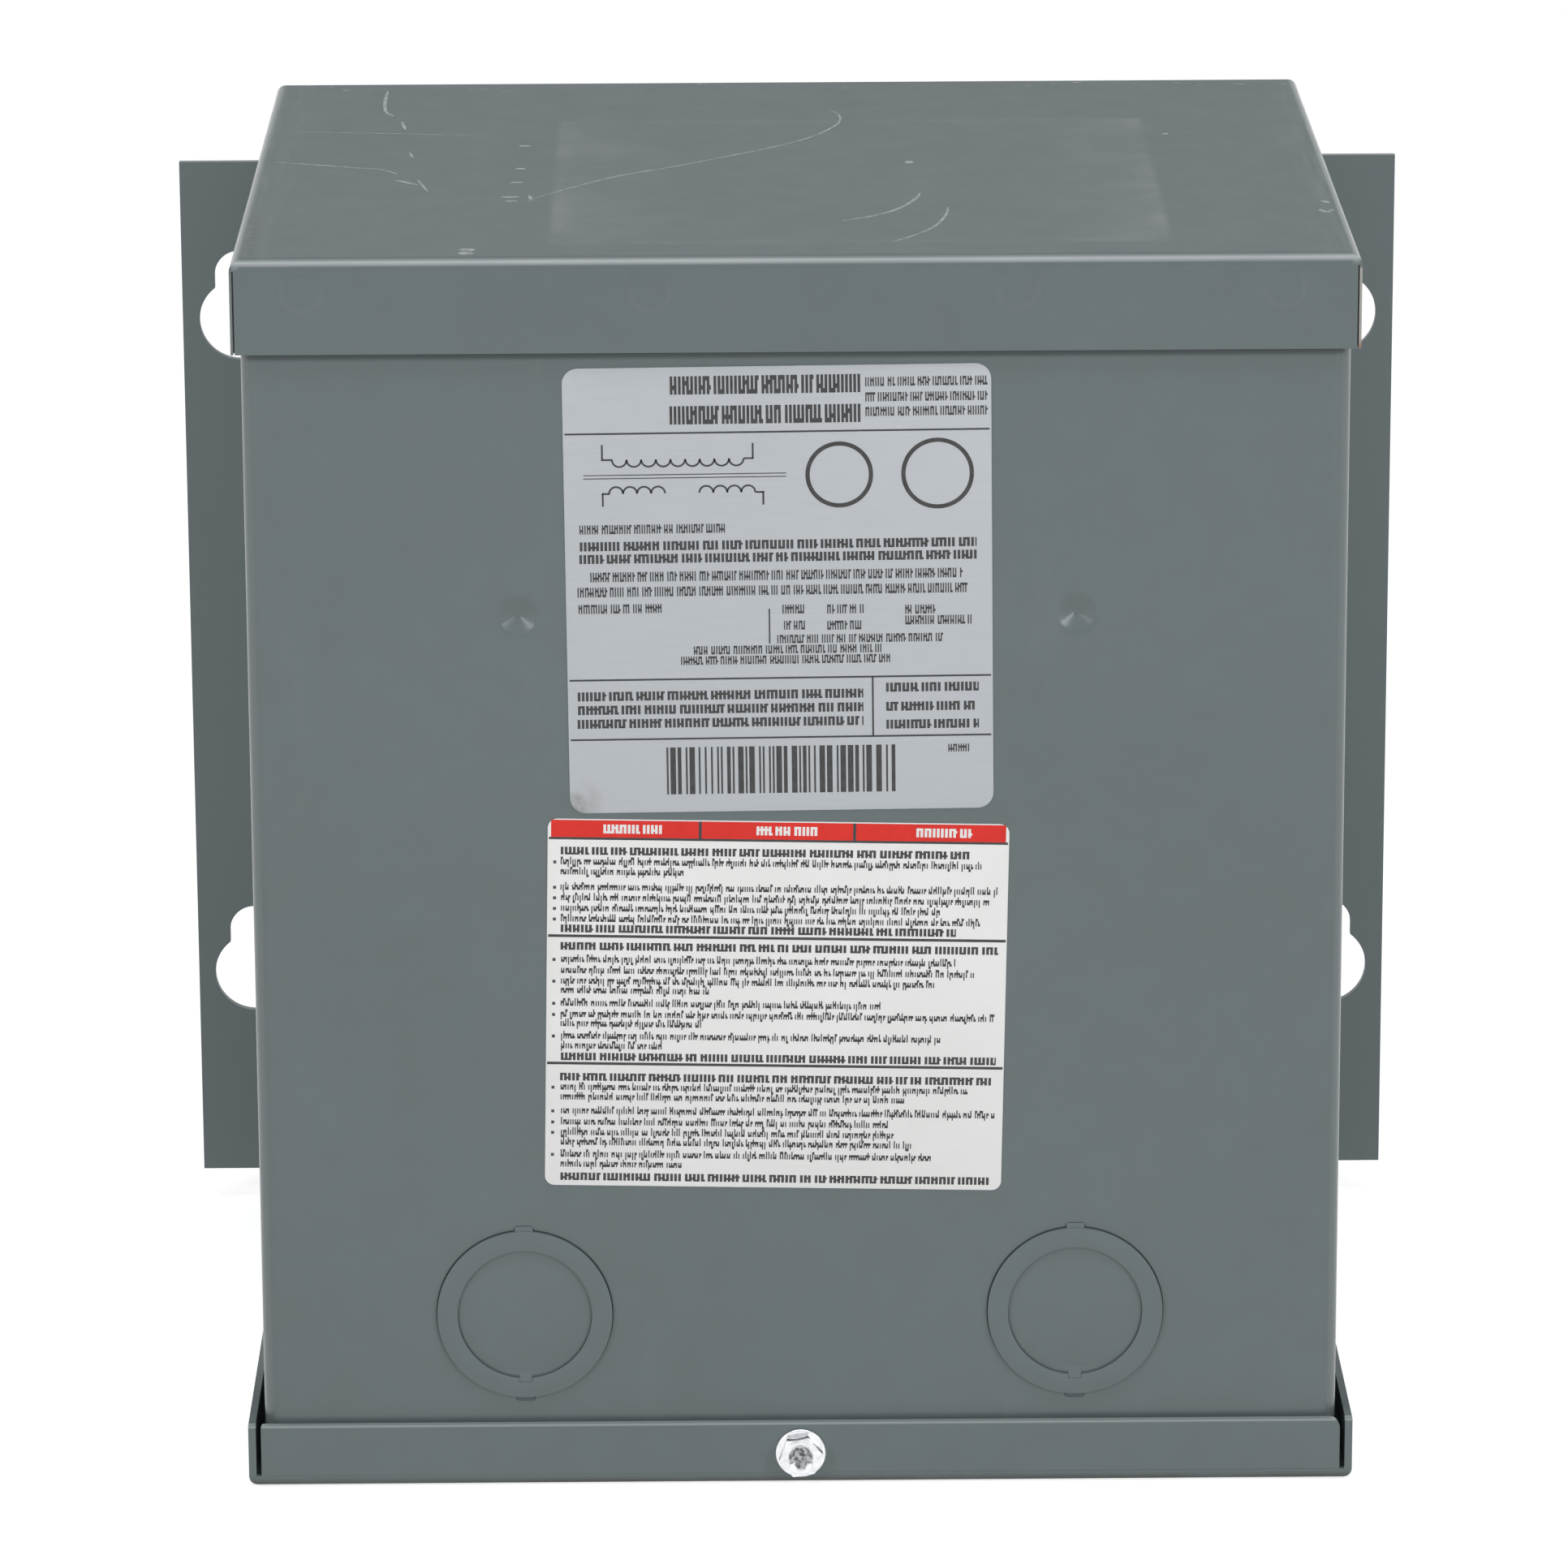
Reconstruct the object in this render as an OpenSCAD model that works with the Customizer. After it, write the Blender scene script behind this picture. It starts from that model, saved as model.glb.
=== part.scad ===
// Small wall-mounted dry-type transformer, about 1.5 kVA, in a rainproof sheet-steel box.
// Millimetres. +Z up, front towards -Y, wall face towards +Y, origin under the middle of its box.

/* [Enclosure] */
// Width over the side walls of the folded body
body_w = 178; // [160:1:220]
// Front wall's outer face to the front of the back plate
body_d = 147.2; // [130:0.1:190]
// Height from the floor to the top of the cover
total_h = 208; // [190:1:260]
// Sheet thickness of the body and its covers
sheet_t = 1.2; // [0.8:0.1:1.6]
// Outside radius of the body's corner bends
body_bend_r = 3; // [2:0.1:5]
// Width of the two flanges welded to the back plate
flange_w = 12; // [8:1:20]
// Air left between the body's edges and each cover's sheet
edge_gap = 0.4; // [0.2:0.1:1]

/* [Top cover] */
// Depth of the top cover's lip
top_lip_h = 15.6; // [10:0.1:22]
// Slip fit between the top cover and the body's sides
top_fit = 0.15; // [0.1:0.05:0.4]
// Outside radius of the top cover's bends
top_bend_r = 2; // [1.6:0.1:3]
// Open seam between the front lip and each side lip
seam_gap = 0.3; // [0.2:0.1:0.6]

/* [Bottom cover] */
// Height of the bottom cover's lips
bottom_lip_h = 10.9; // [9:0.1:16]
// Side clearance of the bottom cover on the body
bottom_side_fit = 1.4; // [0.8:0.1:2]
// Front clearance of the bottom cover on the body
bottom_front_fit = 0.8; // [0.4:0.1:1.5]
// Outside radius of the bottom cover's bends
bottom_bend_r = 2.1; // [1.8:0.1:4]
// Radius of the front lip's upper corners
lip_corner_r = 2; // [1:0.1:4]

/* [Cover screw] */
// Height of the screw above the floor
screw_z = 5.7; // [5:0.1:8]
// Shank diameter of the number 8 screw
screw_d = 4.1; // [3.5:0.1:5]
// Length of the shank under the head
screw_len = 9.5; // [6:0.5:14]
// Diameter of the washer formed on the head
washer_d = 8.4; // [7:0.1:9]
// Thickness of that washer
washer_t = 0.8; // [0.5:0.1:1.2]
// Hexagon of the head across its flats
hex_af = 6.35; // [5.5:0.05:7]
// Height of the hexagon above the washer
hex_h = 2.2; // [1.5:0.1:3]
// Turn of the hexagon where the tightened screw stopped
hex_turn = 9; // [0:1:60]
// Diameter of the dished recess in the head
recess_d = 4.6; // [3:0.1:5]
// Depth of that recess
recess_depth = 0.8; // [0.4:0.1:1.2]
// Radial clearance of the screw in the bottom cover
screw_fit = 0.4; // [0.2:0.1:0.8]
// Radial clearance of the screw in the body
thread_fit = 0.05; // [0.02:0.01:0.1]

/* [Back plate] */
// Reach of each of the plate's ears past the body's side
ear_w = 18.95; // [17:0.05:30]
// Drop of the plate's upper edge below the top of the cover
plate_drop = 13.8; // [10:0.1:15]
// Height of the plate's lower edge above the floor
plate_z = 6.2; // [5.5:0.1:8]
// Thickness of the back plate
plate_t = 1.5; // [1.2:0.1:3]
// Distance of the keyholes' middles from the plate's side edges
keyhole_inset = 10.25; // [8:0.05:10.5]
// Distance between the upper and lower keyholes
keyhole_h = 121.7; // [100:0.1:150]
// Height of the lower keyholes above the floor
keyhole_z = 43.9; // [30:0.1:60]
// Radius of a keyhole's round part
keyhole_r = 7.25; // [6:0.05:8]
// Half the width of a keyhole's slot
slot_r = 4.4; // [3:0.1:5]
// Rise of the slot's end above the round part's centre
slot_rise = 8.1; // [7:0.1:12]

/* [Knockouts] */
// Distance between the two knockouts
knockout_w = 91; // [80:1:120]
// Height of the knockouts above the floor
knockout_z = 29.6; // [28:0.1:34]
// Radius of the hole for the larger conduit
ring_r = 14.5; // [13:0.1:15]
// Radius of the hole for the smaller conduit
disc_r = 11.1; // [10:0.1:12]
// Sheared gap round each knockout
shear_gap = 0.1; // [0.05:0.05:0.2]
// How far the ring is pushed out of the sheet
ring_proud = 0.6; // [0.3:0.1:0.8]
// How far the disc is pushed out of the sheet
disc_proud = 0.1; // [0:0.1:0.4]
// Width of the ring's two tabs
ring_tab_w = 3; // [2:0.1:4]
// Width of the disc's tab
disc_tab_w = 2.2; // [1.5:0.1:3]
// Reach of each tab past its shear line
tab_reach = 0.7; // [0.5:0.1:1.2]

/* [Dimples] */
// Distance between the two drawn dimples
dimple_w = 90.2; // [80:0.1:120]
// Height of the dimples above the floor
dimple_z = 148.7; // [130:0.1:170]
// Radius of a dimple at the sheet's face
dimple_r = 3.4; // [2.5:0.1:4.5]
// Depth of a dimple
dimple_depth = 1.3; // [0.8:0.1:1.5]
// Radius of the flat bottom of a dimple
dimple_tip_r = 0.4; // [0.3:0.1:0.8]

/* [Labels] */
// Thickness of the two labels
label_t = 0.2; // [0.1:0.05:0.4]
// Width of the rating plate
rating_w = 68.8; // [60:0.1:76]
// Height of the rating plate
rating_h = 74; // [64:0.1:76]
// Sideways place of the rating plate's middle
rating_x = -2.9; // [-6:0.1:6]
// Height of the rating plate's middle
rating_z = 152.9; // [150:0.1:154]
// Turn of the rating plate as it was stuck on
rating_tilt = -0.45; // [-1:0.05:1]
// Corner radius of the rating plate
rating_r = 2.6; // [1:0.1:4]
// Width of the notice label
notice_w = 75.1; // [60:0.1:80]
// Height of the notice label
notice_h = 62.7; // [50:0.1:64]
// Sideways place of the notice label's middle
notice_x = -3.75; // [-6:0.05:6]
// Height of the notice label's middle
notice_z = 82.7; // [81:0.1:83]
// Turn of the notice label as it was stuck on
notice_tilt = 1.15; // [-1.5:0.05:1.5]
// Corner radius of the notice label
notice_r = 1.6; // [1:0.1:4]

/* [Core and coil] */
// Height of the wiring compartment's ceiling
shelf_z = 56; // [50:1:62]
// Thickness of that shelf
shelf_t = 1; // [0.8:0.1:1.5]
// Depth of the shelf's side flanges
shelf_flange = 8; // [5:0.5:12]
// Diameter of the lead hole in the shelf
lead_hole_d = 22; // [16:1:26]
// Width of each of the core's two windows
window_w = 22.3; // [18:0.1:27]
// Height of the windows
window_h = 66.8; // [56:0.1:72]
// Depth of the lamination stack
core_stack_d = 66; // [50:1:75]
// Width of the core's middle leg, and twice its outer legs
core_leg = 44.4; // [40:0.1:48]
// Height of the channels that carry the core
foot_h = 8; // [5:0.5:12]
// Wall of the coil former
former_t = 1.8; // [1.2:0.1:2.4]
// Radial build of the primary winding
primary_t = 8.5; // [6:0.1:10]
// Air left in the window outside the windings
window_air = 2.3; // [1:0.1:4]
// Clearance of the former on the middle leg
former_fit = 0.3; // [0.2:0.1:0.6]
// Insulation left between the two windings
layer_gap = 0.4; // [0.3:0.1:0.8]
// Diameter of the core's four bolts
bolt_d = 5; // [4:0.5:6]
// Radial clearance of those bolts in the core
bolt_fit = 0.3; // [0.2:0.1:0.5]
// Diameter of the bolts' heads and nuts
bolt_head_d = 9; // [8:0.5:10]
// Height of the bolts' heads and nuts
bolt_head_h = 4; // [3:0.5:5]
// Gap between the cast filling and the side walls
fill_side_gap = 0.6; // [0.5:0.1:1]
// Gap between the cast filling and the front wall
fill_front_gap = 1.8; // [1.8:0.1:3]
// Air above the cast filling, under the top cover
fill_head_room = 10; // [6:1:20]

/* [Hidden] */
$fn = 96;

// Front to back: the screw head, the bottom cover, the body and the back plate
cover_reach = bottom_front_fit + sheet_t;
head_h = washer_t + hex_h;
wall_y = (head_h + cover_reach + body_d + plate_t) / 2;
plate_y = wall_y - plate_t;
front_y = plate_y - body_d;
inner_y = front_y + sheet_t;
cover_y = front_y - cover_reach;
top_front_y = front_y - top_fit - sheet_t;

// Widths
top_w = body_w + 2 * (top_fit + sheet_t);
bottom_w = body_w + 2 * (bottom_side_fit + sheet_t);
front_lip_w = bottom_w - 2 * bottom_bend_r;
plate_w = body_w + 2 * ear_w;
keyhole_w = plate_w - 2 * keyhole_inset;
core_w = 2 * (core_leg + window_w);

// Heights
body_z = sheet_t + edge_gap;
body_top = total_h - sheet_t - edge_gap;
plate_top = total_h - plate_drop;
plate_h = plate_top - plate_z;
shelf_top = shelf_z + shelf_t;
core_z = shelf_top + foot_h;
core_h = window_h + core_leg;
coil_z = core_z + core_h / 2;
core_y = (inner_y + plate_y) / 2;
fill_top = total_h - sheet_t - fill_head_room;

// Coil sizes, from the middle leg outwards
former_w = core_leg + 2 * (former_fit + former_t);
former_d = core_stack_d + 2 * (former_fit + former_t);
former_h = window_h - 2 * former_fit;
coil_h = former_h - 2 * former_t;
secondary_t = window_w - window_air - former_fit - former_t - primary_t - layer_gap;
primary_w = former_w + 2 * primary_t;
primary_d = former_d + 2 * primary_t;
secondary_w = primary_w + 2 * (layer_gap + secondary_t);
secondary_d = primary_d + 2 * (layer_gap + secondary_t);
foot_w = core_leg / 2;
bolt_x = (core_w - core_leg / 2) / 2;
bolt_z = (core_h - core_leg / 2) / 2;

steel_grey = [0.42, 0.47, 0.48];
plate_grey = [0.38, 0.43, 0.44];
zinc = [0.80, 0.81, 0.83];
cut = 1; // overrun of a cutter past the face it cuts

// A quarter of a bent sheet: it starts on +X, ends on +Y, and runs up by len
module bend(r, t, len) {
    linear_extrude(height = len)
        intersection() {
            difference() {
                circle(r = r);
                circle(r = r - t);
            }
            square([r, r]);
        }
}

// The same bend lying along Y, joining a flat sheet (0, y, r) to a wall (r, y, 0)
module bend_along_y(r, t, len) {
    translate([0, len, 0]) rotate([90, 0, 0]) bend(r, t, len);
}

// The same bend lying along X, joining a flat sheet (x, 0, r) to a wall (x, -r, 0)
module bend_along_x(r, t, len) {
    rotate([90, 0, -90]) translate([0, 0, -len]) bend(r, t, len);
}

// A disc or hole through the sheet, along Y
module rod(x, y, z, r, len) {
    translate([x, y + len, z]) rotate([90, 0, 0]) cylinder(r = r, h = len);
}

// A box given by its middle in X, its lower corner in Y and Z, and its size
module block(x, y, z, size) {
    translate([x - size[0] / 2, y, z]) cube(size);
}

module both_sides() {
    children();
    mirror([1, 0, 0]) children();
}

module rounded_rect(w, h, r) {
    square([w - 2 * r, h], center = true);
    square([w, h - 2 * r], center = true);
    for (x = [-1, 1], z = [-1, 1])
        translate([x * (w / 2 - r), z * (h / 2 - r)]) circle(r = r);
}

// Front wall, two side walls and two rear flanges, folded from one sheet
module body_wrap() {
    wall_h = body_top - body_z;
    bend_x = body_w / 2 - body_bend_r;
    color(steel_grey)
    difference() {
        union() {
            block(0, front_y, body_z, [2 * bend_x, sheet_t, wall_h]);
            both_sides() {
                translate([bend_x, front_y + body_bend_r, body_z])
                    mirror([0, 1, 0]) bend(body_bend_r, sheet_t, wall_h);
                translate([body_w / 2 - sheet_t, front_y + body_bend_r, body_z])
                    cube([sheet_t, body_d - 2 * body_bend_r, wall_h]);
                translate([bend_x, plate_y - body_bend_r, body_z])
                    bend(body_bend_r, sheet_t, wall_h);
                translate([bend_x - flange_w, plate_y - sheet_t, body_z])
                    cube([flange_w, sheet_t, wall_h]);
                dimple_boss();
            }
        }
        both_sides() {
            rod(knockout_w / 2, front_y - cut, knockout_z, ring_r, sheet_t + 2 * cut);
            block(knockout_w / 2, front_y - cut, knockout_z - ring_r - tab_reach,
                [ring_tab_w, sheet_t + 2 * cut, 2 * (ring_r + tab_reach)]);
            dimple_hollow();
        }
        rod(0, front_y - cut, screw_z, screw_d / 2 + thread_fit, sheet_t + 2 * cut);
    }
}

// A dimple's back, which stands into the box behind the front wall
module dimple_boss() {
    translate([dimple_w / 2, inner_y, dimple_z]) rotate([-90, 0, 0])
        cylinder(r1 = dimple_r, r2 = dimple_tip_r + sheet_t / 2, h = dimple_depth);
}

// The hollow of a dimple, open to the front
module dimple_hollow() {
    translate([dimple_w / 2, front_y, dimple_z]) rotate([-90, 0, 0])
        cylinder(r1 = dimple_r, r2 = dimple_tip_r, h = dimple_depth);
}

// Folded pan that slips over the body and rests its rear lip on the back plate
module top_cover() {
    lip_z = total_h - top_lip_h;
    bend_x = top_w / 2 - top_bend_r;
    bend_z = total_h - top_bend_r;
    top_d = wall_y - top_front_y;
    side_y = top_front_y + sheet_t + seam_gap;
    color(steel_grey)
    difference() {
        union() {
            block(0, top_front_y + top_bend_r, total_h - sheet_t,
                [2 * bend_x, top_d - 2 * top_bend_r, sheet_t]);
            block(0, top_front_y, lip_z, [top_w, sheet_t, top_lip_h - top_bend_r]);
            block(0, wall_y - sheet_t, lip_z, [top_w, sheet_t, top_lip_h - top_bend_r]);
            translate([-top_w / 2, top_front_y + top_bend_r, bend_z])
                bend_along_x(top_bend_r, sheet_t, top_w);
            translate([-top_w / 2, wall_y - top_bend_r, bend_z])
                mirror([0, 1, 0]) bend_along_x(top_bend_r, sheet_t, top_w);
            both_sides() {
                translate([bend_x, top_front_y + top_bend_r, bend_z])
                    bend_along_y(top_bend_r, sheet_t, top_d - 2 * top_bend_r);
                translate([top_w / 2 - sheet_t, side_y, lip_z])
                    cube([sheet_t, wall_y - sheet_t - seam_gap - side_y, top_lip_h - top_bend_r]);
            }
        }
        block(0, plate_y - top_fit, lip_z - cut,
            [plate_w, plate_t + top_fit + cut, plate_top - lip_z + cut]);
    }
}

// Flat mounting plate with four keyholes, welded to the body's rear flanges
module back_plate() {
    color(plate_grey)
    difference() {
        block(0, plate_y, plate_z, [plate_w, plate_t, plate_h]);
        both_sides() for (z = [keyhole_z, keyhole_z + keyhole_h]) keyhole(keyhole_w / 2, z);
    }
}

// Round entry with a narrower slot above it
module keyhole(x, z) {
    depth = plate_t + 2 * cut;
    rod(x, plate_y - cut, z, keyhole_r, depth);
    rod(x, plate_y - cut, z + slot_rise, slot_r, depth);
    block(x, plate_y - cut, z, [2 * slot_r, depth, slot_rise]);
}

// Folded pan that closes the wiring compartment, with a short lip under the back plate
module bottom_cover() {
    bend_x = bottom_w / 2 - bottom_bend_r;
    cover_d = wall_y - cover_y;
    wall_h = bottom_lip_h - bottom_bend_r;
    color(steel_grey)
    difference() {
        union() {
            block(0, cover_y + bottom_bend_r, 0, [2 * bend_x, cover_d - bottom_bend_r, sheet_t]);
            translate([-front_lip_w / 2, cover_y + bottom_bend_r, bottom_bend_r])
                mirror([0, 0, 1]) bend_along_x(bottom_bend_r, sheet_t, front_lip_w);
            front_lip(wall_h);
            block(0, wall_y - sheet_t, sheet_t, [2 * bend_x, sheet_t, plate_z - 2 * sheet_t]);
            both_sides() {
                translate([bend_x, cover_y, bottom_bend_r])
                    mirror([0, 0, 1]) bend_along_y(bottom_bend_r, sheet_t, cover_d);
                translate([bottom_w / 2 - sheet_t, cover_y, bottom_bend_r])
                    cube([sheet_t, cover_d, wall_h]);
            }
        }
        block(0, plate_y - edge_gap, plate_z - edge_gap,
            [plate_w, plate_t + edge_gap + cut, plate_h]);
        rod(0, cover_y - cut, screw_z, screw_d / 2 + screw_fit, sheet_t + 2 * cut);
    }
}

// Front lip of the bottom cover, with rounded upper corners
module front_lip(wall_h) {
    corner_x = front_lip_w / 2 - lip_corner_r;
    block(0, cover_y, bottom_bend_r, [front_lip_w, sheet_t, wall_h - lip_corner_r]);
    block(0, cover_y, bottom_lip_h - lip_corner_r, [2 * corner_x, sheet_t, lip_corner_r]);
    both_sides()
        intersection() {
            rod(corner_x, cover_y, bottom_lip_h - lip_corner_r, lip_corner_r, sheet_t);
            translate([corner_x, cover_y, bottom_lip_h - lip_corner_r])
                cube([lip_corner_r, sheet_t, lip_corner_r]);
        }
}

// Hexagon washer-head screw that holds the bottom cover to the body
module cover_screw() {
    color(zinc)
    translate([0, cover_y, screw_z]) rotate([90, 0, 0])
        difference() {
            union() {
                translate([0, 0, -screw_len]) cylinder(d = screw_d, h = screw_len + washer_t / 2);
                cylinder(d = washer_d, h = washer_t);
                translate([0, 0, washer_t / 2]) rotate([0, 0, hex_turn])
                    cylinder(d = hex_af / cos(30), h = hex_h + washer_t / 2, $fn = 6);
            }
            translate([0, 0, head_h - recess_depth])
                cylinder(d1 = recess_d * 0.6, d2 = recess_d, h = recess_depth);
        }
}

// Ring left by the smaller hole, held in the body by a tab above and a tab below
module knockout_ring(side) {
    x = side * knockout_w / 2;
    y = front_y - ring_proud;
    color(steel_grey)
    difference() {
        union() {
            rod(x, y, knockout_z, ring_r - shear_gap, sheet_t);
            for (end = [-1, 1])
                block(x, front_y, knockout_z + end * (ring_r + (tab_reach - 1) / 2)
                    - (tab_reach + 1) / 2, [ring_tab_w, sheet_t - ring_proud, tab_reach + 1]);
        }
        rod(x, y - cut, knockout_z, disc_r, sheet_t + 2 * cut);
        block(x, y - cut, knockout_z - disc_r - tab_reach,
            [disc_tab_w, sheet_t + 2 * cut, disc_r]);
    }
}

// Disc held in the ring by one tab below
module knockout_disc(side) {
    x = side * knockout_w / 2;
    y = front_y - disc_proud;
    color(steel_grey) {
        rod(x, y, knockout_z, disc_r - shear_gap, sheet_t);
        block(x, front_y, knockout_z - disc_r - tab_reach,
            [disc_tab_w, sheet_t - ring_proud, tab_reach + 1]);
    }
}

// A rounded label lying on the front wall
module label(x, z, w, h, r, tilt) {
    translate([x, front_y, z]) rotate([90, 0, 0]) rotate([0, 0, -tilt])
        linear_extrude(height = label_t) rounded_rect(w, h, r);
}

module rating_plate() {
    color([0.70, 0.72, 0.74])
        label(rating_x, rating_z, rating_w, rating_h, rating_r, rating_tilt);
}

module notice_label() {
    color([0.92, 0.92, 0.92])
        label(notice_x, notice_z, notice_w, notice_h, notice_r, notice_tilt);
}

// Shelf between the wiring compartment and the core, welded by two flanges
module compartment_shelf() {
    shelf_w = body_w - 2 * sheet_t;
    color(steel_grey)
    difference() {
        union() {
            block(0, inner_y + body_bend_r, shelf_z,
                [shelf_w, plate_y - inner_y - 2 * body_bend_r, shelf_t]);
            both_sides()
                translate([shelf_w / 2 - shelf_t, inner_y + body_bend_r, shelf_z - shelf_flange])
                    cube([shelf_t, plate_y - inner_y - 2 * body_bend_r, shelf_flange]);
        }
        translate([0, plate_y - lead_hole_d, shelf_z - cut])
            cylinder(d = lead_hole_d, h = shelf_t + 2 * cut);
    }
}

// Square bar under each outer leg of the core
module core_foot(side) {
    color([0.30, 0.31, 0.32])
        block(side * (core_w - foot_w) / 2, core_y - core_stack_d / 2, shelf_top,
            [foot_w, core_stack_d, foot_h]);
}

// Stacked shell-type laminations with two windows and four bolt holes
module core_stack() {
    color([0.25, 0.26, 0.28])
    difference() {
        block(0, core_y - core_stack_d / 2, core_z, [core_w, core_stack_d, core_h]);
        both_sides()
            block((core_leg + window_w) / 2, core_y - core_stack_d / 2 - cut,
                coil_z - window_h / 2, [window_w, core_stack_d + 2 * cut, window_h]);
        at_bolts() rod(0, core_y - core_stack_d / 2 - cut, 0, bolt_d / 2 + bolt_fit,
            core_stack_d + 2 * cut);
    }
}

module at_bolts() {
    for (x = [-1, 1], z = [-1, 1])
        translate([x * bolt_x, 0, coil_z + z * bolt_z]) children();
}

// Four through bolts, each with a head in front and a nut behind
module core_bolts() {
    color(zinc)
    at_bolts() {
        rod(0, core_y - core_stack_d / 2 - bolt_head_h, 0, bolt_d / 2,
            core_stack_d + 2 * bolt_head_h);
        for (y = [-core_stack_d / 2 - bolt_head_h, core_stack_d / 2])
            rod(0, core_y + y, 0, bolt_head_d / 2, bolt_head_h);
    }
}

// A square tube round the core's middle leg
module leg_tube(outer_w, outer_d, inner_w, inner_d, h) {
    difference() {
        block(0, core_y - outer_d / 2, coil_z - h / 2, [outer_w, outer_d, h]);
        block(0, core_y - inner_d / 2, coil_z - h / 2 - cut, [inner_w, inner_d, h + 2 * cut]);
    }
}

// Moulded former that insulates the windings from the core
module coil_former() {
    hole_w = core_leg + 2 * former_fit;
    hole_d = core_stack_d + 2 * former_fit;
    color([0.85, 0.80, 0.65])
    union() {
        leg_tube(former_w, former_d, hole_w, hole_d, former_h);
        for (end = [-1, 1])
            translate([0, 0, end * (former_h - former_t) / 2])
                leg_tube(secondary_w, secondary_d, hole_w, hole_d, former_t);
    }
}

module primary_coil() {
    color([0.72, 0.45, 0.20])
        leg_tube(primary_w, primary_d, former_w, former_d, coil_h);
}

module secondary_coil() {
    color([0.70, 0.42, 0.18])
        leg_tube(secondary_w, secondary_d, primary_w + 2 * layer_gap, primary_d + 2 * layer_gap,
            coil_h);
}

// Resin and sand cast round the core and coil
module cast_filling() {
    fill_y = inner_y + fill_front_gap;
    fill_w = body_w - 2 * (sheet_t + fill_side_gap);
    fill_d = plate_y - body_bend_r - fill_y;
    color([0.20, 0.19, 0.18])
    difference() {
        block(0, fill_y, shelf_top, [fill_w, fill_d, fill_top - shelf_top]);
        block(0, core_y - core_stack_d / 2, core_z, [core_w, core_stack_d, core_h]);
        block(0, core_y - secondary_d / 2, coil_z - former_h / 2,
            [secondary_w, secondary_d, former_h]);
        for (side = [-1, 1]) core_foot(side);
        core_bolts();
    }
}

body_wrap();
top_cover();
back_plate();
bottom_cover();
cover_screw();
knockout_ring(-1);  // knockout_ring_left
knockout_ring(1);  // knockout_ring_right
knockout_disc(-1);  // knockout_disc_left
knockout_disc(1);  // knockout_disc_right
rating_plate();
notice_label();
compartment_shelf();
core_foot(-1);  // core_foot_left
core_foot(1);  // core_foot_right
core_stack();
coil_former();
primary_coil();
secondary_coil();
core_bolts();
cast_filling();
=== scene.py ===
import math
import random

import bmesh
import bpy
from mathutils import Matrix, Vector


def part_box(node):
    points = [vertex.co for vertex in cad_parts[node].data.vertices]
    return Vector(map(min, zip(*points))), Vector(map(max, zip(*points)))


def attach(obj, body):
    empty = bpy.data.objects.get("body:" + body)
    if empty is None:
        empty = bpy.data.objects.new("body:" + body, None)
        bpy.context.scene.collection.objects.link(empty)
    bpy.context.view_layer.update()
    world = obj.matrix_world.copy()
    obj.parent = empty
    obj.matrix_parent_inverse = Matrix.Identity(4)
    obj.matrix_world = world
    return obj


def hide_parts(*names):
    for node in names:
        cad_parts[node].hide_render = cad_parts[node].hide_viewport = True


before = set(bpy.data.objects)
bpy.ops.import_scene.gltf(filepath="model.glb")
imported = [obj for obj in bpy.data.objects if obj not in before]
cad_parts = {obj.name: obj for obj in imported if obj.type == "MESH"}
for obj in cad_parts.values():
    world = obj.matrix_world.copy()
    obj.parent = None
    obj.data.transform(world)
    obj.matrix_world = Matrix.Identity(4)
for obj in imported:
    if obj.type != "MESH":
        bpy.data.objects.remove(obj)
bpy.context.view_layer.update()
MM = 0.001

# ---------------------------------------------------------------- camera, floor and light
# The box is seen from in front and a little above. It stands on a pale floor
# between two tall soft lights, with a strip over its front edge and two weak
# lights behind. Eye, mirror and glass rays meet a white world and a lifted floor.
scene = bpy.context.scene
scene.view_settings.view_transform = "Standard"

EYE = Vector((-0.0121, -1.3256, 0.4737))
YAW, PITCH, ROLL = math.radians(0.45), math.radians(15.74), math.radians(-0.26)
bpy.ops.object.camera_add()
camera = bpy.context.object
camera.data.sensor_width = 36
camera.data.lens = 184.2
camera.matrix_world = (
    Matrix.Translation(EYE)
    @ Matrix.Rotation(-YAW, 4, "Z")
    @ Matrix.Rotation(math.pi / 2 - PITCH, 4, "X")
    @ Matrix.Rotation(ROLL, 4, "Z")
)
scene.camera = camera


def soft_light(name, place, size, watts):
    """A rectangular soft light that faces the middle of the box."""
    bpy.ops.object.light_add(type="AREA", location=place)
    lamp = bpy.context.object
    lamp.name = name
    lamp.data.shape = "RECTANGLE"
    lamp.data.size, lamp.data.size_y = size
    lamp.data.energy = watts
    aim = Vector((0, 0, 0.1)) - Vector(place)
    lamp.rotation_euler = aim.to_track_quat("-Z", "Y").to_euler()


soft_light("left_softbox", (-0.95, -1.1, 0.62), (0.45, 0.7), 5.8)
soft_light("right_softbox", (0.95, -1.1, 0.62), (0.45, 0.7), 6.8)
soft_light("top_strip", (0.0, -0.42, 1.35), (1.4, 0.3), 5.5)
soft_light("left_back_fill", (-1.3, 1.1, 0.7), (0.8, 0.8), 3)
soft_light("right_back_fill", (1.3, 1.1, 0.7), (0.8, 0.8), 3)

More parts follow.
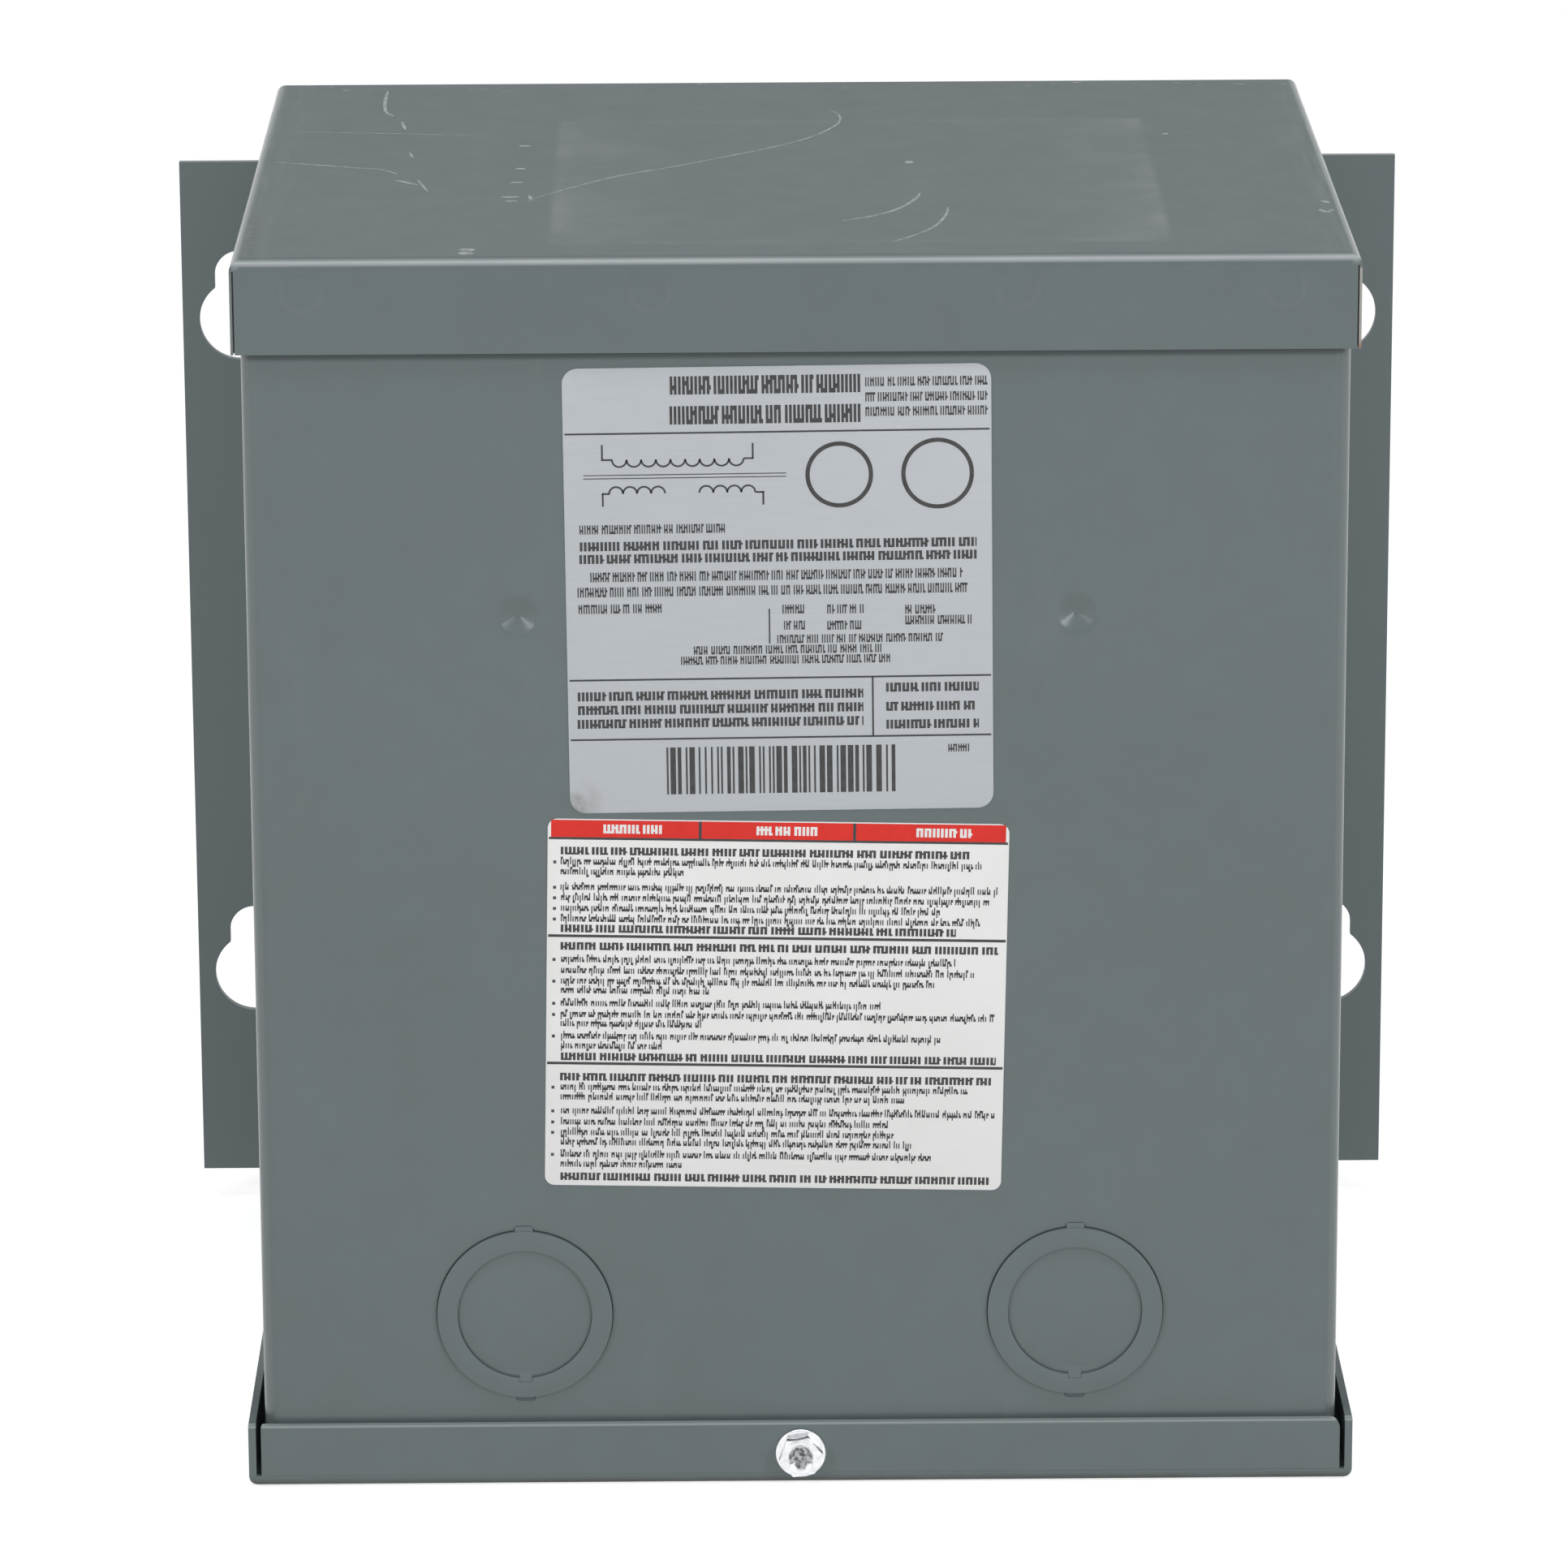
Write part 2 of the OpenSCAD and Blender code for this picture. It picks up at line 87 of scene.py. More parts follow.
world = bpy.data.worlds.new("studio")
scene.world = world
world.use_nodes = True
sky = world.node_tree
sky_background = sky.nodes["Background"]
sky_paths = sky.nodes.new("ShaderNodeLightPath")
sky_strength = sky.nodes.new("ShaderNodeMath")
sky_strength.operation = "MULTIPLY_ADD"
AMBIENT = 0.22
sky_seen = sky.nodes.new("ShaderNodeMath")
sky_seen.operation = "MAXIMUM"
sky.links.new(sky_paths.outputs["Is Camera Ray"], sky_seen.inputs[0])
sky_mirrored = sky.nodes.new("ShaderNodeMath")
sky_mirrored.operation = "MAXIMUM"
sky.links.new(sky_paths.outputs["Is Glossy Ray"], sky_mirrored.inputs[0])
sky.links.new(sky_paths.outputs["Is Transmission Ray"], sky_mirrored.inputs[1])
sky.links.new(sky_mirrored.outputs[0], sky_seen.inputs[1])
sky.links.new(sky_seen.outputs[0], sky_strength.inputs[0])
sky_strength.inputs[1].default_value = 1 - AMBIENT
sky_strength.inputs[2].default_value = AMBIENT
sky.links.new(sky_strength.outputs[0], sky_background.inputs["Strength"])
sky_background.inputs["Color"].default_value = (1, 1, 1, 1)

bpy.ops.mesh.primitive_plane_add(size=16)
floor = bpy.context.object
floor.name = "floor"
floor_paint = bpy.data.materials.new("pale_floor")
floor_paint.use_nodes = True
floor_nodes, floor_links = floor_paint.node_tree.nodes, floor_paint.node_tree.links
floor_shader = floor_nodes["Principled BSDF"]
floor_shader.inputs["Base Color"].default_value = (0.86, 0.86, 0.86, 1)
floor_shader.inputs["Roughness"].default_value = 0.9
floor_shader.inputs["Specular IOR Level"].default_value = 0.1
floor_shader.inputs["Emission Color"].default_value = (1, 1, 1, 1)
floor_path = floor_nodes.new("ShaderNodeLightPath")
floor_lift = floor_nodes.new("ShaderNodeMath")
floor_lift.operation = "MULTIPLY"
floor_lift.inputs[1].default_value = 0.64
floor_seen = floor_nodes.new("ShaderNodeMath")
floor_seen.operation = "MAXIMUM"
floor_links.new(floor_path.outputs["Is Camera Ray"], floor_seen.inputs[0])
floor_mirrored = floor_nodes.new("ShaderNodeMath")
floor_mirrored.operation = "MAXIMUM"
floor_links.new(floor_path.outputs["Is Glossy Ray"], floor_mirrored.inputs[0])
floor_links.new(floor_path.outputs["Is Transmission Ray"], floor_mirrored.inputs[1])
floor_links.new(floor_mirrored.outputs[0], floor_seen.inputs[1])
floor_links.new(floor_seen.outputs[0], floor_lift.inputs[0])
floor_links.new(floor_lift.outputs[0], floor_shader.inputs["Emission Strength"])
floor.data.materials.append(floor_paint)


# ---------------------------------------------------------------- body wrap
# The front and both side walls are one sheet of 1.2 mm steel, folded with 3 mm
# bends and welded to the back plate by two flanges, under smooth grey enamel.
SHEET = 1.2 * MM
BODY_BEND = 3 * MM
FLANGE = 12 * MM
RING_R = 14.5 * MM
TAB_REACH = 0.7 * MM
TAB_W = 3 * MM


def show_only(piece):
    """Selects one piece and nothing else."""
    bpy.ops.object.select_all(action="DESELECT")
    piece.select_set(True)
    bpy.context.view_layer.objects.active = piece


def block(name, low, high):
    """A box between two corners, with its place in its mesh."""
    bpy.ops.object.select_all(action="DESELECT")
    low, high = Vector(low), Vector(high)
    bpy.ops.mesh.primitive_cube_add(size=1, location=(low + high) / 2)
    piece = bpy.context.object
    piece.name = name
    piece.scale = high - low
    bpy.ops.object.transform_apply(location=True, rotation=True, scale=True)
    return piece


def drum(name, centre, radius, low_y, high_y, sides=96, turn=0.0):
    """A cylinder lying along Y between two depths."""
    bpy.ops.object.select_all(action="DESELECT")
    bpy.ops.mesh.primitive_cylinder_add(
        vertices=sides,
        radius=radius,
        depth=high_y - low_y,
        location=(centre[0], (low_y + high_y) / 2, centre[1]),
        rotation=(math.pi / 2, turn, 0),
    )
    piece = bpy.context.object
    piece.name = name
    bpy.ops.object.transform_apply(location=True, rotation=True, scale=True)
    return piece


def pick(piece, kind, test):
    """Enters edit mode with only the faces or edges selected whose middle and normal pass the test."""
    show_only(piece)
    bpy.ops.object.mode_set(mode="EDIT")
    bpy.ops.mesh.select_mode(type=kind)
    bpy.ops.mesh.select_all(action="DESELECT")
    mesh = bmesh.from_edit_mesh(piece.data)
    for part in list(mesh.faces if kind == "FACE" else mesh.edges):
        if kind == "FACE":
            chosen = test(part.calc_center_median(), part.normal)
        else:
            ends = [v.co for v in part.verts]
            chosen = test((ends[0] + ends[1]) / 2, (ends[1] - ends[0]).normalized())
        if chosen:
            part.select_set(True)
    bmesh.update_edit_mesh(piece.data)


def leave():
    bpy.ops.object.mode_set(mode="OBJECT")


def apply_all(piece):
    """Applies every modifier on the piece."""
    show_only(piece)
    for modifier in list(piece.modifiers):
        bpy.ops.object.modifier_apply(modifier=modifier.name)


def carve(piece, *cutters, operation="DIFFERENCE"):
    """Cuts each cutter out of the piece, and removes the cutter."""
    for cutter in cutters:
        cut = piece.modifiers.new("cut", "BOOLEAN")
        cut.operation = operation
        cut.solver = "EXACT"
        cut.object = cutter
        cut.material_mode = "TRANSFER"
        apply_all(piece)
        bpy.data.objects.remove(cutter)


def thicken(piece, thickness):
    """Gives a surface its sheet thickness, inwards."""
    wall = piece.modifiers.new("sheet", "SOLIDIFY")
    wall.thickness = thickness
    wall.offset = -1
    wall.use_even_offset = True
    apply_all(piece)


def ease(piece, width, segments=2, angle=35):
    """Breaks the sharp edges, and smooths what is round."""
    edge = piece.modifiers.new("edge", "BEVEL")
    edge.width = width
    edge.segments = segments
    edge.limit_method = "ANGLE"
    edge.angle_limit = math.radians(angle)
    edge.use_clamp_overlap = True
    edge.miter_outer = "MITER_ARC"
    apply_all(piece)
    show_only(piece)
    bpy.ops.object.shade_smooth_by_angle(angle=math.radians(40))
    level = piece.modifiers.new("level", "WEIGHTED_NORMAL")
    level.keep_sharp = True
    level.weight = 100
    apply_all(piece)


def finish_piece(piece, slot, *nodes):
    """The piece rides on the fixed body and stands for its CAD nodes."""
    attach(piece, "root")
    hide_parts(*nodes)


body_low, body_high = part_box("body_wrap")
body = block("body_wrap_sheet", body_low, body_high)
pick(body, "FACE", lambda c, n: abs(n.z) > 0.9 or n.y > 0.9)
bpy.ops.mesh.delete(type="FACE")
leave()
pick(body, "EDGE", lambda c, d: c.y > body_high.y - 1e-6 and abs(d.z) > 0.9 and c.x < 0)
bpy.ops.mesh.extrude_region_move(TRANSFORM_OT_translate={"value": (FLANGE + BODY_BEND, 0, 0)})
leave()
pick(
    body,
    "EDGE",
    lambda c, d: c.y > body_high.y - 1e-6 and abs(d.z) > 0.9 and c.x > body_high.x - 1e-6,
)
bpy.ops.mesh.extrude_region_move(TRANSFORM_OT_translate={"value": (-FLANGE - BODY_BEND, 0, 0)})
leave()
pick(
    body,
    "EDGE",
    lambda c, d: abs(d.z) > 0.9 and abs(abs(c.x) - body_high.x) < 1e-6,
)
bpy.ops.mesh.bevel(offset=BODY_BEND, offset_type="OFFSET", segments=8, profile=0.5)
leave()
show_only(body)
bpy.ops.object.mode_set(mode="EDIT")
bpy.ops.mesh.select_all(action="SELECT")
bpy.ops.mesh.normals_make_consistent(inside=False)
bpy.ops.object.mode_set(mode="OBJECT")
thicken(body, SHEET)

DIMPLE_X, DIMPLE_Z = 45.1 * MM, 148.7 * MM
DIMPLE_R, DIMPLE_TIP_R, DIMPLE_DEPTH = 3.4 * MM, 0.4 * MM, 1.3 * MM
front = body_low.y
knockouts = {}
for side in ("left", "right"):
    ring_low, ring_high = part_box("knockout_ring_" + side)
    ring_x = (ring_low.x + ring_high.x) / 2
    ring_z = (ring_low.z + ring_high.z) / 2
    knockouts[side] = (ring_x, ring_z)
    hole = drum("hole", (ring_x, ring_z), RING_R, front - SHEET, front + 2 * SHEET, 128)
    slot_cut = block(
        "slot",
        (ring_x - TAB_W / 2, front - SHEET, ring_z - RING_R - TAB_REACH),
        (ring_x + TAB_W / 2, front + 2 * SHEET, ring_z + RING_R + TAB_REACH),
    )
    carve(body, hole, slot_cut)


def cone(name, centre, front_r, back_r, low_y, high_y, sides=64):
    """A cone lying along Y, given by its radius at each end."""
    bpy.ops.object.select_all(action="DESELECT")
    bpy.ops.mesh.primitive_cone_add(
        vertices=sides,
        radius1=front_r,
        radius2=back_r,
        depth=high_y - low_y,
        location=(centre[0], (low_y + high_y) / 2, centre[1]),
        rotation=(-math.pi / 2, 0, 0),
    )
    piece = bpy.context.object
    piece.name = name
    bpy.ops.object.transform_apply(location=True, rotation=True, scale=True)
    return piece


for sign in (-1, 1):
    spot = (sign * DIMPLE_X, DIMPLE_Z)
    boss = cone(
        "boss",
        spot,
        DIMPLE_R + 0.5 * MM,
        DIMPLE_TIP_R + 0.7 * MM,
        front + SHEET / 2,
        front + SHEET + DIMPLE_DEPTH,
    )
    carve(body, boss, operation="UNION")
    carve(body, cone("punch", spot, DIMPLE_R, DIMPLE_TIP_R, front, front + DIMPLE_DEPTH))

    def at_rim(c, d, spot=spot):
        reach = math.hypot(c.x - spot[0], c.z - spot[1])
        return abs(reach - DIMPLE_R) < 0.1 * MM and c.y < front + 0.05 * MM

    def at_tip(c, d, spot=spot):
        reach = math.hypot(c.x - spot[0], c.z - spot[1])
        return reach < DIMPLE_TIP_R + 0.1 * MM and abs(c.y - front - DIMPLE_DEPTH) < 0.05 * MM

    pick(body, "EDGE", at_rim)
    bpy.ops.mesh.bevel(offset=0.6 * MM, offset_type="OFFSET", segments=5, profile=0.5)
    leave()
    pick(body, "EDGE", at_tip)
    bpy.ops.mesh.bevel(offset=0.25 * MM, offset_type="OFFSET", segments=3, profile=0.5)
    leave()

screw_low, screw_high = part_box("cover_screw")
SCREW_X = (screw_low.x + screw_high.x) / 2
SCREW_Z = (screw_low.z + screw_high.z) / 2
carve(body, drum("thread", (SCREW_X, SCREW_Z), 2.1 * MM, front - SHEET, front + 2 * SHEET, 48))
ease(body, 0.25 * MM)
finish_piece(body, "box_paint", "body_wrap")


# Its paint is grey air-drying enamel sprayed over the folded sheet: a fine
# orange peel, a slight cloudiness, and a little dust in the film.
def new_material(name):
    """A node material with its shader and an Object coordinate."""
    material = bpy.data.materials.new(name)
    material.use_nodes = True
    tree = material.node_tree
    place = tree.nodes.new("ShaderNodeTexCoord").outputs["Object"]
    return material, tree, tree.nodes["Principled BSDF"], place


def noise(tree, place, scale, detail=3.0, roughness=0.55, stretch=None):
    """Noise with a given number of waves per metre, stretched along an axis if asked."""
    if stretch:
        mapping = tree.nodes.new("ShaderNodeMapping")
        mapping.inputs["Scale"].default_value = stretch
        tree.links.new(place, mapping.inputs["Vector"])
        place = mapping.outputs["Vector"]
    pattern = tree.nodes.new("ShaderNodeTexNoise")
    pattern.inputs["Scale"].default_value = scale
    pattern.inputs["Detail"].default_value = detail
    pattern.inputs["Roughness"].default_value = roughness
    tree.links.new(place, pattern.inputs["Vector"])
    return pattern.outputs["Fac"]


def ramp(tree, value, low, high, start=0.0, end=1.0):
    """Maps a value between two limits onto a range, clamped."""
    spread = tree.nodes.new("ShaderNodeMapRange")
    spread.inputs["From Min"].default_value = low
    spread.inputs["From Max"].default_value = high
    spread.inputs["To Min"].default_value = start
    spread.inputs["To Max"].default_value = end
    tree.links.new(value, spread.inputs["Value"])
    return spread.outputs["Result"]


def maths(tree, operation, *values):
    """A math node on numbers or sockets."""
    node = tree.nodes.new("ShaderNodeMath")
    node.operation = operation
    for index, value in enumerate(values):
        if isinstance(value, (int, float)):
            node.inputs[index].default_value = value
        else:
            tree.links.new(value, node.inputs[index])
    return node.outputs[0]


def blend_colour(tree, amount, first, second):
    """Mixes two colours or sockets."""
    node = tree.nodes.new("ShaderNodeMix")
    node.data_type = "RGBA"
    if isinstance(amount, (int, float)):
        node.inputs["Factor"].default_value = amount
    else:
        tree.links.new(amount, node.inputs["Factor"])
    for name, value in (("A", first), ("B", second)):
        socket = [s for s in node.inputs if s.name == name and s.type == "RGBA"][0]
        if isinstance(value, tuple):
            socket.default_value = value + (1.0,)
        else:
            tree.links.new(value, socket)
    return [s for s in node.outputs if s.type == "RGBA"][0]


def bump(tree, shader, height, distance, strength=1.0):
    """Adds a bump to the shader, over the one it may already have."""
    node = tree.nodes.new("ShaderNodeBump")
    node.inputs["Strength"].default_value = strength
    node.inputs["Distance"].default_value = distance
    tree.links.new(height, node.inputs["Height"])
    earlier = shader.inputs["Normal"]
    if earlier.is_linked:
        tree.links.new(earlier.links[0].from_socket, node.inputs["Normal"])
    tree.links.new(node.outputs["Normal"], earlier)


def axis(tree, place):
    """The three coordinates of a point."""
    split = tree.nodes.new("ShaderNodeSeparateXYZ")
    tree.links.new(place, split.inputs[0])
    return split.outputs[0], split.outputs[1], split.outputs[2]


def distance(tree, across, up):
    """How far a point is from a line, by its two offsets from that line."""
    squares = (maths(tree, "MULTIPLY", across, across), maths(tree, "MULTIPLY", up, up))
    return maths(tree, "SQRT", maths(tree, "ADD", *squares))


def band(tree, value, low, high, soft):
    """1 between two limits, fading to 0 outside them over a soft width."""
    up = ramp(tree, value, low - soft, low + soft)
    down = ramp(tree, value, high - soft, high + soft, 1.0, 0.0)
    return maths(tree, "MULTIPLY", up, down)


PAINT = (0.118, 0.148, 0.154)
PAINT_DARK = (0.082, 0.104, 0.109)
BARE_STEEL = (0.42, 0.40, 0.37)
RUST = (0.23, 0.085, 0.03)
RUBBED_AND_HIGHLIGHT = (0.21, 0.235, 0.24)


def enamel(name, colour=PAINT, dark=PAINT_DARK, gloss=0.2):
    """Sprayed enamel on sheet steel, with its colour and roughness left open for worn marks and for painted
    highlights and shade.
    """
    material, tree, shader, place = new_material(name)
    cloud = ramp(tree, noise(tree, place, 14, 4), 0.3, 0.7)
    mottle = ramp(tree, noise(tree, place, 160, 3), 0.35, 0.65)
    tone = maths(tree, "MULTIPLY_ADD", mottle, 0.35, maths(tree, "MULTIPLY", cloud, 0.65))
    light = tuple(c * 1.045 for c in colour)
    shade = tuple(c * 0.955 for c in colour)
    paint = blend_colour(tree, tone, shade, light)
    speck = ramp(tree, noise(tree, place, 1100, 2), 0.76, 0.8)
    paint = blend_colour(tree, maths(tree, "MULTIPLY", speck, 0.4), paint, dark)
    fine = noise(tree, place, 650, 2, 0.5)
    rough = ramp(tree, mottle, 0, 1, gloss - 0.02, gloss + 0.05)
    bump(tree, shader, fine, 0.01 * MM, 0.5)
    return material, tree, shader, place, paint, rough


def join(tree, shader, paint, rough):
    tree.links.new(paint, shader.inputs["Base Color"])
    tree.links.new(rough, shader.inputs["Roughness"])


def lay_wear_and_painted_light(tree, amount, paint, rough, colour, roughness):
    """Lays a colour and roughness over the paint: real wear in some places, painted highlights and shadows in
    others.
    """
    paint = blend_colour(tree, amount, paint, colour)
    keep = maths(tree, "SUBTRACT", 1.0, amount)
    rough = maths(tree, "MULTIPLY_ADD", amount, roughness, maths(tree, "MULTIPLY", keep, rough))
    return paint, rough


box_paint, tree, shader, place, paint, rough = enamel("box_enamel")
run = noise(tree, place, 90, 4, 0.6, (1.0, 1.0, 0.25))
dust = ramp(tree, run, 0.62, 0.78, 0.0, 0.12)
paint, rough = lay_wear_and_painted_light(tree, dust, paint, rough, RUBBED_AND_HIGHLIGHT, 0.55)
x, y, z = axis(tree, place)
# painted highlight: a paler, glossier strip down each front corner bend of the body
reach = maths(tree, "ABSOLUTE", x)
corner = maths(
    tree,
    "MULTIPLY",
    band(tree, reach, body_high.x - 1.5 * MM, body_high.x + MM, 0.3 * MM),
    ramp(tree, y, front + 1.2 * MM, front + 2.2 * MM, 1.0, 0.0),
)
paint, rough = lay_wear_and_painted_light(tree, maths(tree, "MULTIPLY", corner, 0.35), paint, rough, RUBBED_AND_HIGHLIGHT, 0.3)
# painted shadow: a dark band across the front wall just below the top cover's front lip
seam_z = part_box("top_cover")[0].z
under = maths(
    tree,
    "MULTIPLY",
    ramp(tree, z, seam_z - 1.5 * MM, seam_z - 0.9 * MM),
    ramp(tree, y, front + 0.4 * MM, front + 1.0 * MM, 1.0, 0.0),
)
paint, rough = lay_wear_and_painted_light(tree, maths(tree, "MULTIPLY", under, 0.75), paint, rough, (0.03, 0.038, 0.04), 0.6)
join(tree, shader, paint, rough)


def dress(piece, material):
    piece.data.materials.clear()
    piece.data.materials.append(material)


dress(body, box_paint)


# ---------------------------------------------------------------- core, coil and filling
# Inside, silicon-steel laminations stand on two bars and carry a moulded
# former with two copper windings, all cast in dark resin and sand.
def cad_dress(material, *nodes):
    """Gives CAD nodes a finer material and leaves their shape alone."""
    for node in nodes:
        dress(bpy.data.objects[node], material)


def plain_finish(name, first, second, scale, rough_low, rough_high, depth, stretch=None, metal=0.0):
    """A finish made of two tones in a grain, with roughness and relief from the same grain."""
    material, tree, shader, place = new_material(name)
    grain = ramp(tree, noise(tree, place, scale, 4, 0.6, stretch), 0.3, 0.7)
    tone = blend_colour(tree, grain, first, second)
    join(tree, shader, tone, ramp(tree, grain, 0, 1, rough_low, rough_high))
    shader.inputs["Metallic"].default_value = metal
    bump(tree, shader, grain, depth * MM)
    return material


# each finish: two colours, grain per metre, two roughnesses, relief in mm, stretch, metal
ALONG_SHEETS, ALONG_WIRES = (0.05, 1.0, 0.05), (0.03, 0.03, 1.0)
core_steel = plain_finish(
    "core_steel_sheets", (0.045, 0.048, 0.055), (0.1, 0.105, 0.115), 900, 0.4, 0.6, 0.05, ALONG_SHEETS, 0.6
)
moulding = plain_finish("former_moulding", (0.62, 0.53, 0.33), (0.7, 0.62, 0.42), 120, 0.45, 0.6, 0.02)
copper = plain_finish(
    "copper_wire", (0.5, 0.2, 0.08), (0.72, 0.34, 0.15), 700, 0.25, 0.4, 0.1, ALONG_WIRES, 0.9
)
filling = plain_finish("resin_and_sand", (0.02, 0.018, 0.016), (0.07, 0.062, 0.052), 420, 0.55, 0.85, 0.25)
bolt_zinc = plain_finish("bolt_zinc", (0.5, 0.5, 0.5), (0.7, 0.7, 0.71), 800, 0.3, 0.45, 0.01, None, 0.9)
cad_dress(core_steel, "core_stack", "core_foot_left", "core_foot_right")
cad_dress(moulding, "coil_former")
cad_dress(copper, "primary_coil", "secondary_coil")
cad_dress(filling, "cast_filling")
cad_dress(bolt_zinc, "core_bolts")
cad_dress(box_paint, "compartment_shelf")


# ---------------------------------------------------------------- top cover
# A folded steel pan slipped over the body. Its front and rear lips are bent
# down first and the side lips close against them, so each corner has a seam
# that shows the cut end of the side lip.
BEND_TOP = 2 * MM
SEAM = 0.25 * MM
LIP_END = 0.55 * MM
top_low, top_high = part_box("top_cover")
plate_low, plate_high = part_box("back_plate")
lid_top = top_high.z - 0.02 * MM
lid = block("top_cover_pan", top_low, (top_high.x, top_high.y, lid_top))
pick(lid, "FACE", lambda c, n: n.z < -0.9)
bpy.ops.mesh.delete(type="FACE")
leave()
pick(lid, "EDGE", lambda c, d: c.z > lid_top - 1e-6)
bpy.ops.mesh.bevel(offset=BEND_TOP, offset_type="OFFSET", segments=8, profile=0.5)
leave()
thicken(lid, SHEET)
for sign in (-1, 1):
    seam_x = sign * (top_high.x - LIP_END)
    for y in (top_low.y, top_high.y - SHEET):
        carve(
            lid,
            block(
                "seam",
                (seam_x - SEAM / 2, y - 2 * MM, top_low.z - MM),
                (seam_x + SEAM / 2, y + SHEET + 0.35 * MM, top_high.z - BEND_TOP),
            ),
        )
carve(
    lid,
    block(
        "plate_room",
        (plate_low.x, plate_low.y - 0.15 * MM, top_low.z - MM),
        (plate_high.x, plate_high.y, plate_high.z),
    ),
)
ease(lid, 0.22 * MM)
finish_piece(lid, "box_paint", "top_cover")

lid_paint, tree, shader, place, paint, rough = enamel("top_cover_enamel")
x, y, z = axis(tree, place)
on_top = ramp(tree, z, top_high.z - 0.6 * MM, top_high.z - 0.1 * MM)
reach = maths(tree, "ABSOLUTE", x)
# scuff bands along both side edges, rubbed where the box was slid on its side
streak = noise(tree, place, 500, 3, 0.6, (1.0, 0.06, 1.0))
rough = maths(tree, "MULTIPLY_ADD", on_top, 0.46, rough)
scuff = maths(tree, "MULTIPLY", ramp(tree, reach, 82.5 * MM, 89.5 * MM), ramp(tree, streak, 0.42, 0.7))
scuff = maths(tree, "MULTIPLY", scuff, on_top)
paint, rough = lay_wear_and_painted_light(tree, maths(tree, "MULTIPLY", scuff, 0.7), paint, rough, RUBBED_AND_HIGHLIGHT, 0.7)
dark_rub = maths(
    tree,
    "MULTIPLY",
    band(tree, x, -88.6 * MM, -86.6 * MM, 0.5 * MM),
    band(tree, y, -69 * MM, -38 * MM, 6 * MM),
)
broken = ramp(tree, noise(tree, place, 700, 3, 0.7), 0.4, 0.55, 0.0, 0.75)
dark_rub = maths(tree, "MULTIPLY", dark_rub, broken)
paint, rough = lay_wear_and_painted_light(tree, maths(tree, "MULTIPLY", dark_rub, on_top), paint, rough, (0.05, 0.055, 0.055), 0.5)
# pale flecks along the back edge, and a faint rectangle left by old tape
fleck = ramp(tree, noise(tree, place, 420, 2), 0.66, 0.72)
back_fleck = maths(tree, "MULTIPLY", fleck, ramp(tree, y, 66 * MM, 76 * MM, 0.0, 0.7))
back_fleck = maths(tree, "MULTIPLY", back_fleck, on_top)
paint, rough = lay_wear_and_painted_light(tree, back_fleck, paint, rough, (0.4, 0.42, 0.42), 0.6)
TAPE_X = (-39.6 * MM, 60.6 * MM)
TAPE_Y = (-63 * MM, 40 * MM)
TAPE_RIM_X, TAPE_RIM_Y = 2.6 * MM, 2.5 * MM
patch = maths(
    tree,
    "MULTIPLY",
    band(tree, x, *TAPE_X, 0.6 * MM),
    band(tree, y, *TAPE_Y, 0.8 * MM),
)
inner = maths(
    tree,
    "MULTIPLY",
    band(tree, x, TAPE_X[0] + TAPE_RIM_X, TAPE_X[1] - TAPE_RIM_X, 1.2 * MM),
    band(tree, y, TAPE_Y[0] + TAPE_RIM_Y, TAPE_Y[1] - TAPE_RIM_Y, 1.2 * MM),
)
outline = maths(tree, "SUBTRACT", patch, inner)
smear = ramp(tree, noise(tree, place, 60, 4), 0.35, 0.65, 0.06, 0.3)
ends = maths(
    tree,
    "ADD",
    ramp(tree, x, TAPE_X[0], -18 * MM, 0.8, 0.0),
    ramp(tree, x, 42 * MM, TAPE_X[1], 0.0, 0.8),
)
rim = maths(tree, "MULTIPLY", outline, 0.35)
haze = maths(tree, "MULTIPLY_ADD", patch, maths(tree, "ADD", ends, 0.1), rim)
residue = maths(tree, "MULTIPLY", maths(tree, "MULTIPLY", haze, on_top), smear)
paint, rough = lay_wear_and_painted_light(tree, residue, paint, rough, (0.3, 0.32, 0.32), 0.6)
# painted highlights along the cover's bends, brightest along the front bend, where the enamel is also made
# glossier
front_bend_highlight = maths(
    tree,
    "MULTIPLY",
    band(tree, z, top_high.z - 1.15 * MM, top_high.z - 0.35 * MM, 0.2 * MM),
    ramp(tree, y, top_low.y + 1.5 * MM, top_low.y + 2.0 * MM, 1.0, 0.0),
)
uneven_highlight = ramp(tree, noise(tree, place, 60, 3, 0.5, (0.4, 1, 1)), 0.3, 0.6, 0.75, 1.0)
paint, rough = lay_wear_and_painted_light(tree, maths(tree, "MULTIPLY", front_bend_highlight, uneven_highlight), paint, rough, (0.34, 0.37, 0.38), 0.3)
# painted highlight along both side bends of the cover
side_bend_highlight = band(tree, reach, top_high.x - 1.5 * MM, top_high.x - 0.4 * MM, 0.25 * MM)
side_bend_highlight = maths(tree, "MULTIPLY", side_bend_highlight, ramp(tree, z, top_high.z - 2 * MM, top_high.z - 1.4 * MM))
paint, rough = lay_wear_and_painted_light(tree, maths(tree, "MULTIPLY", side_bend_highlight, 0.35), paint, rough, (0.33, 0.36, 0.37), 0.3)
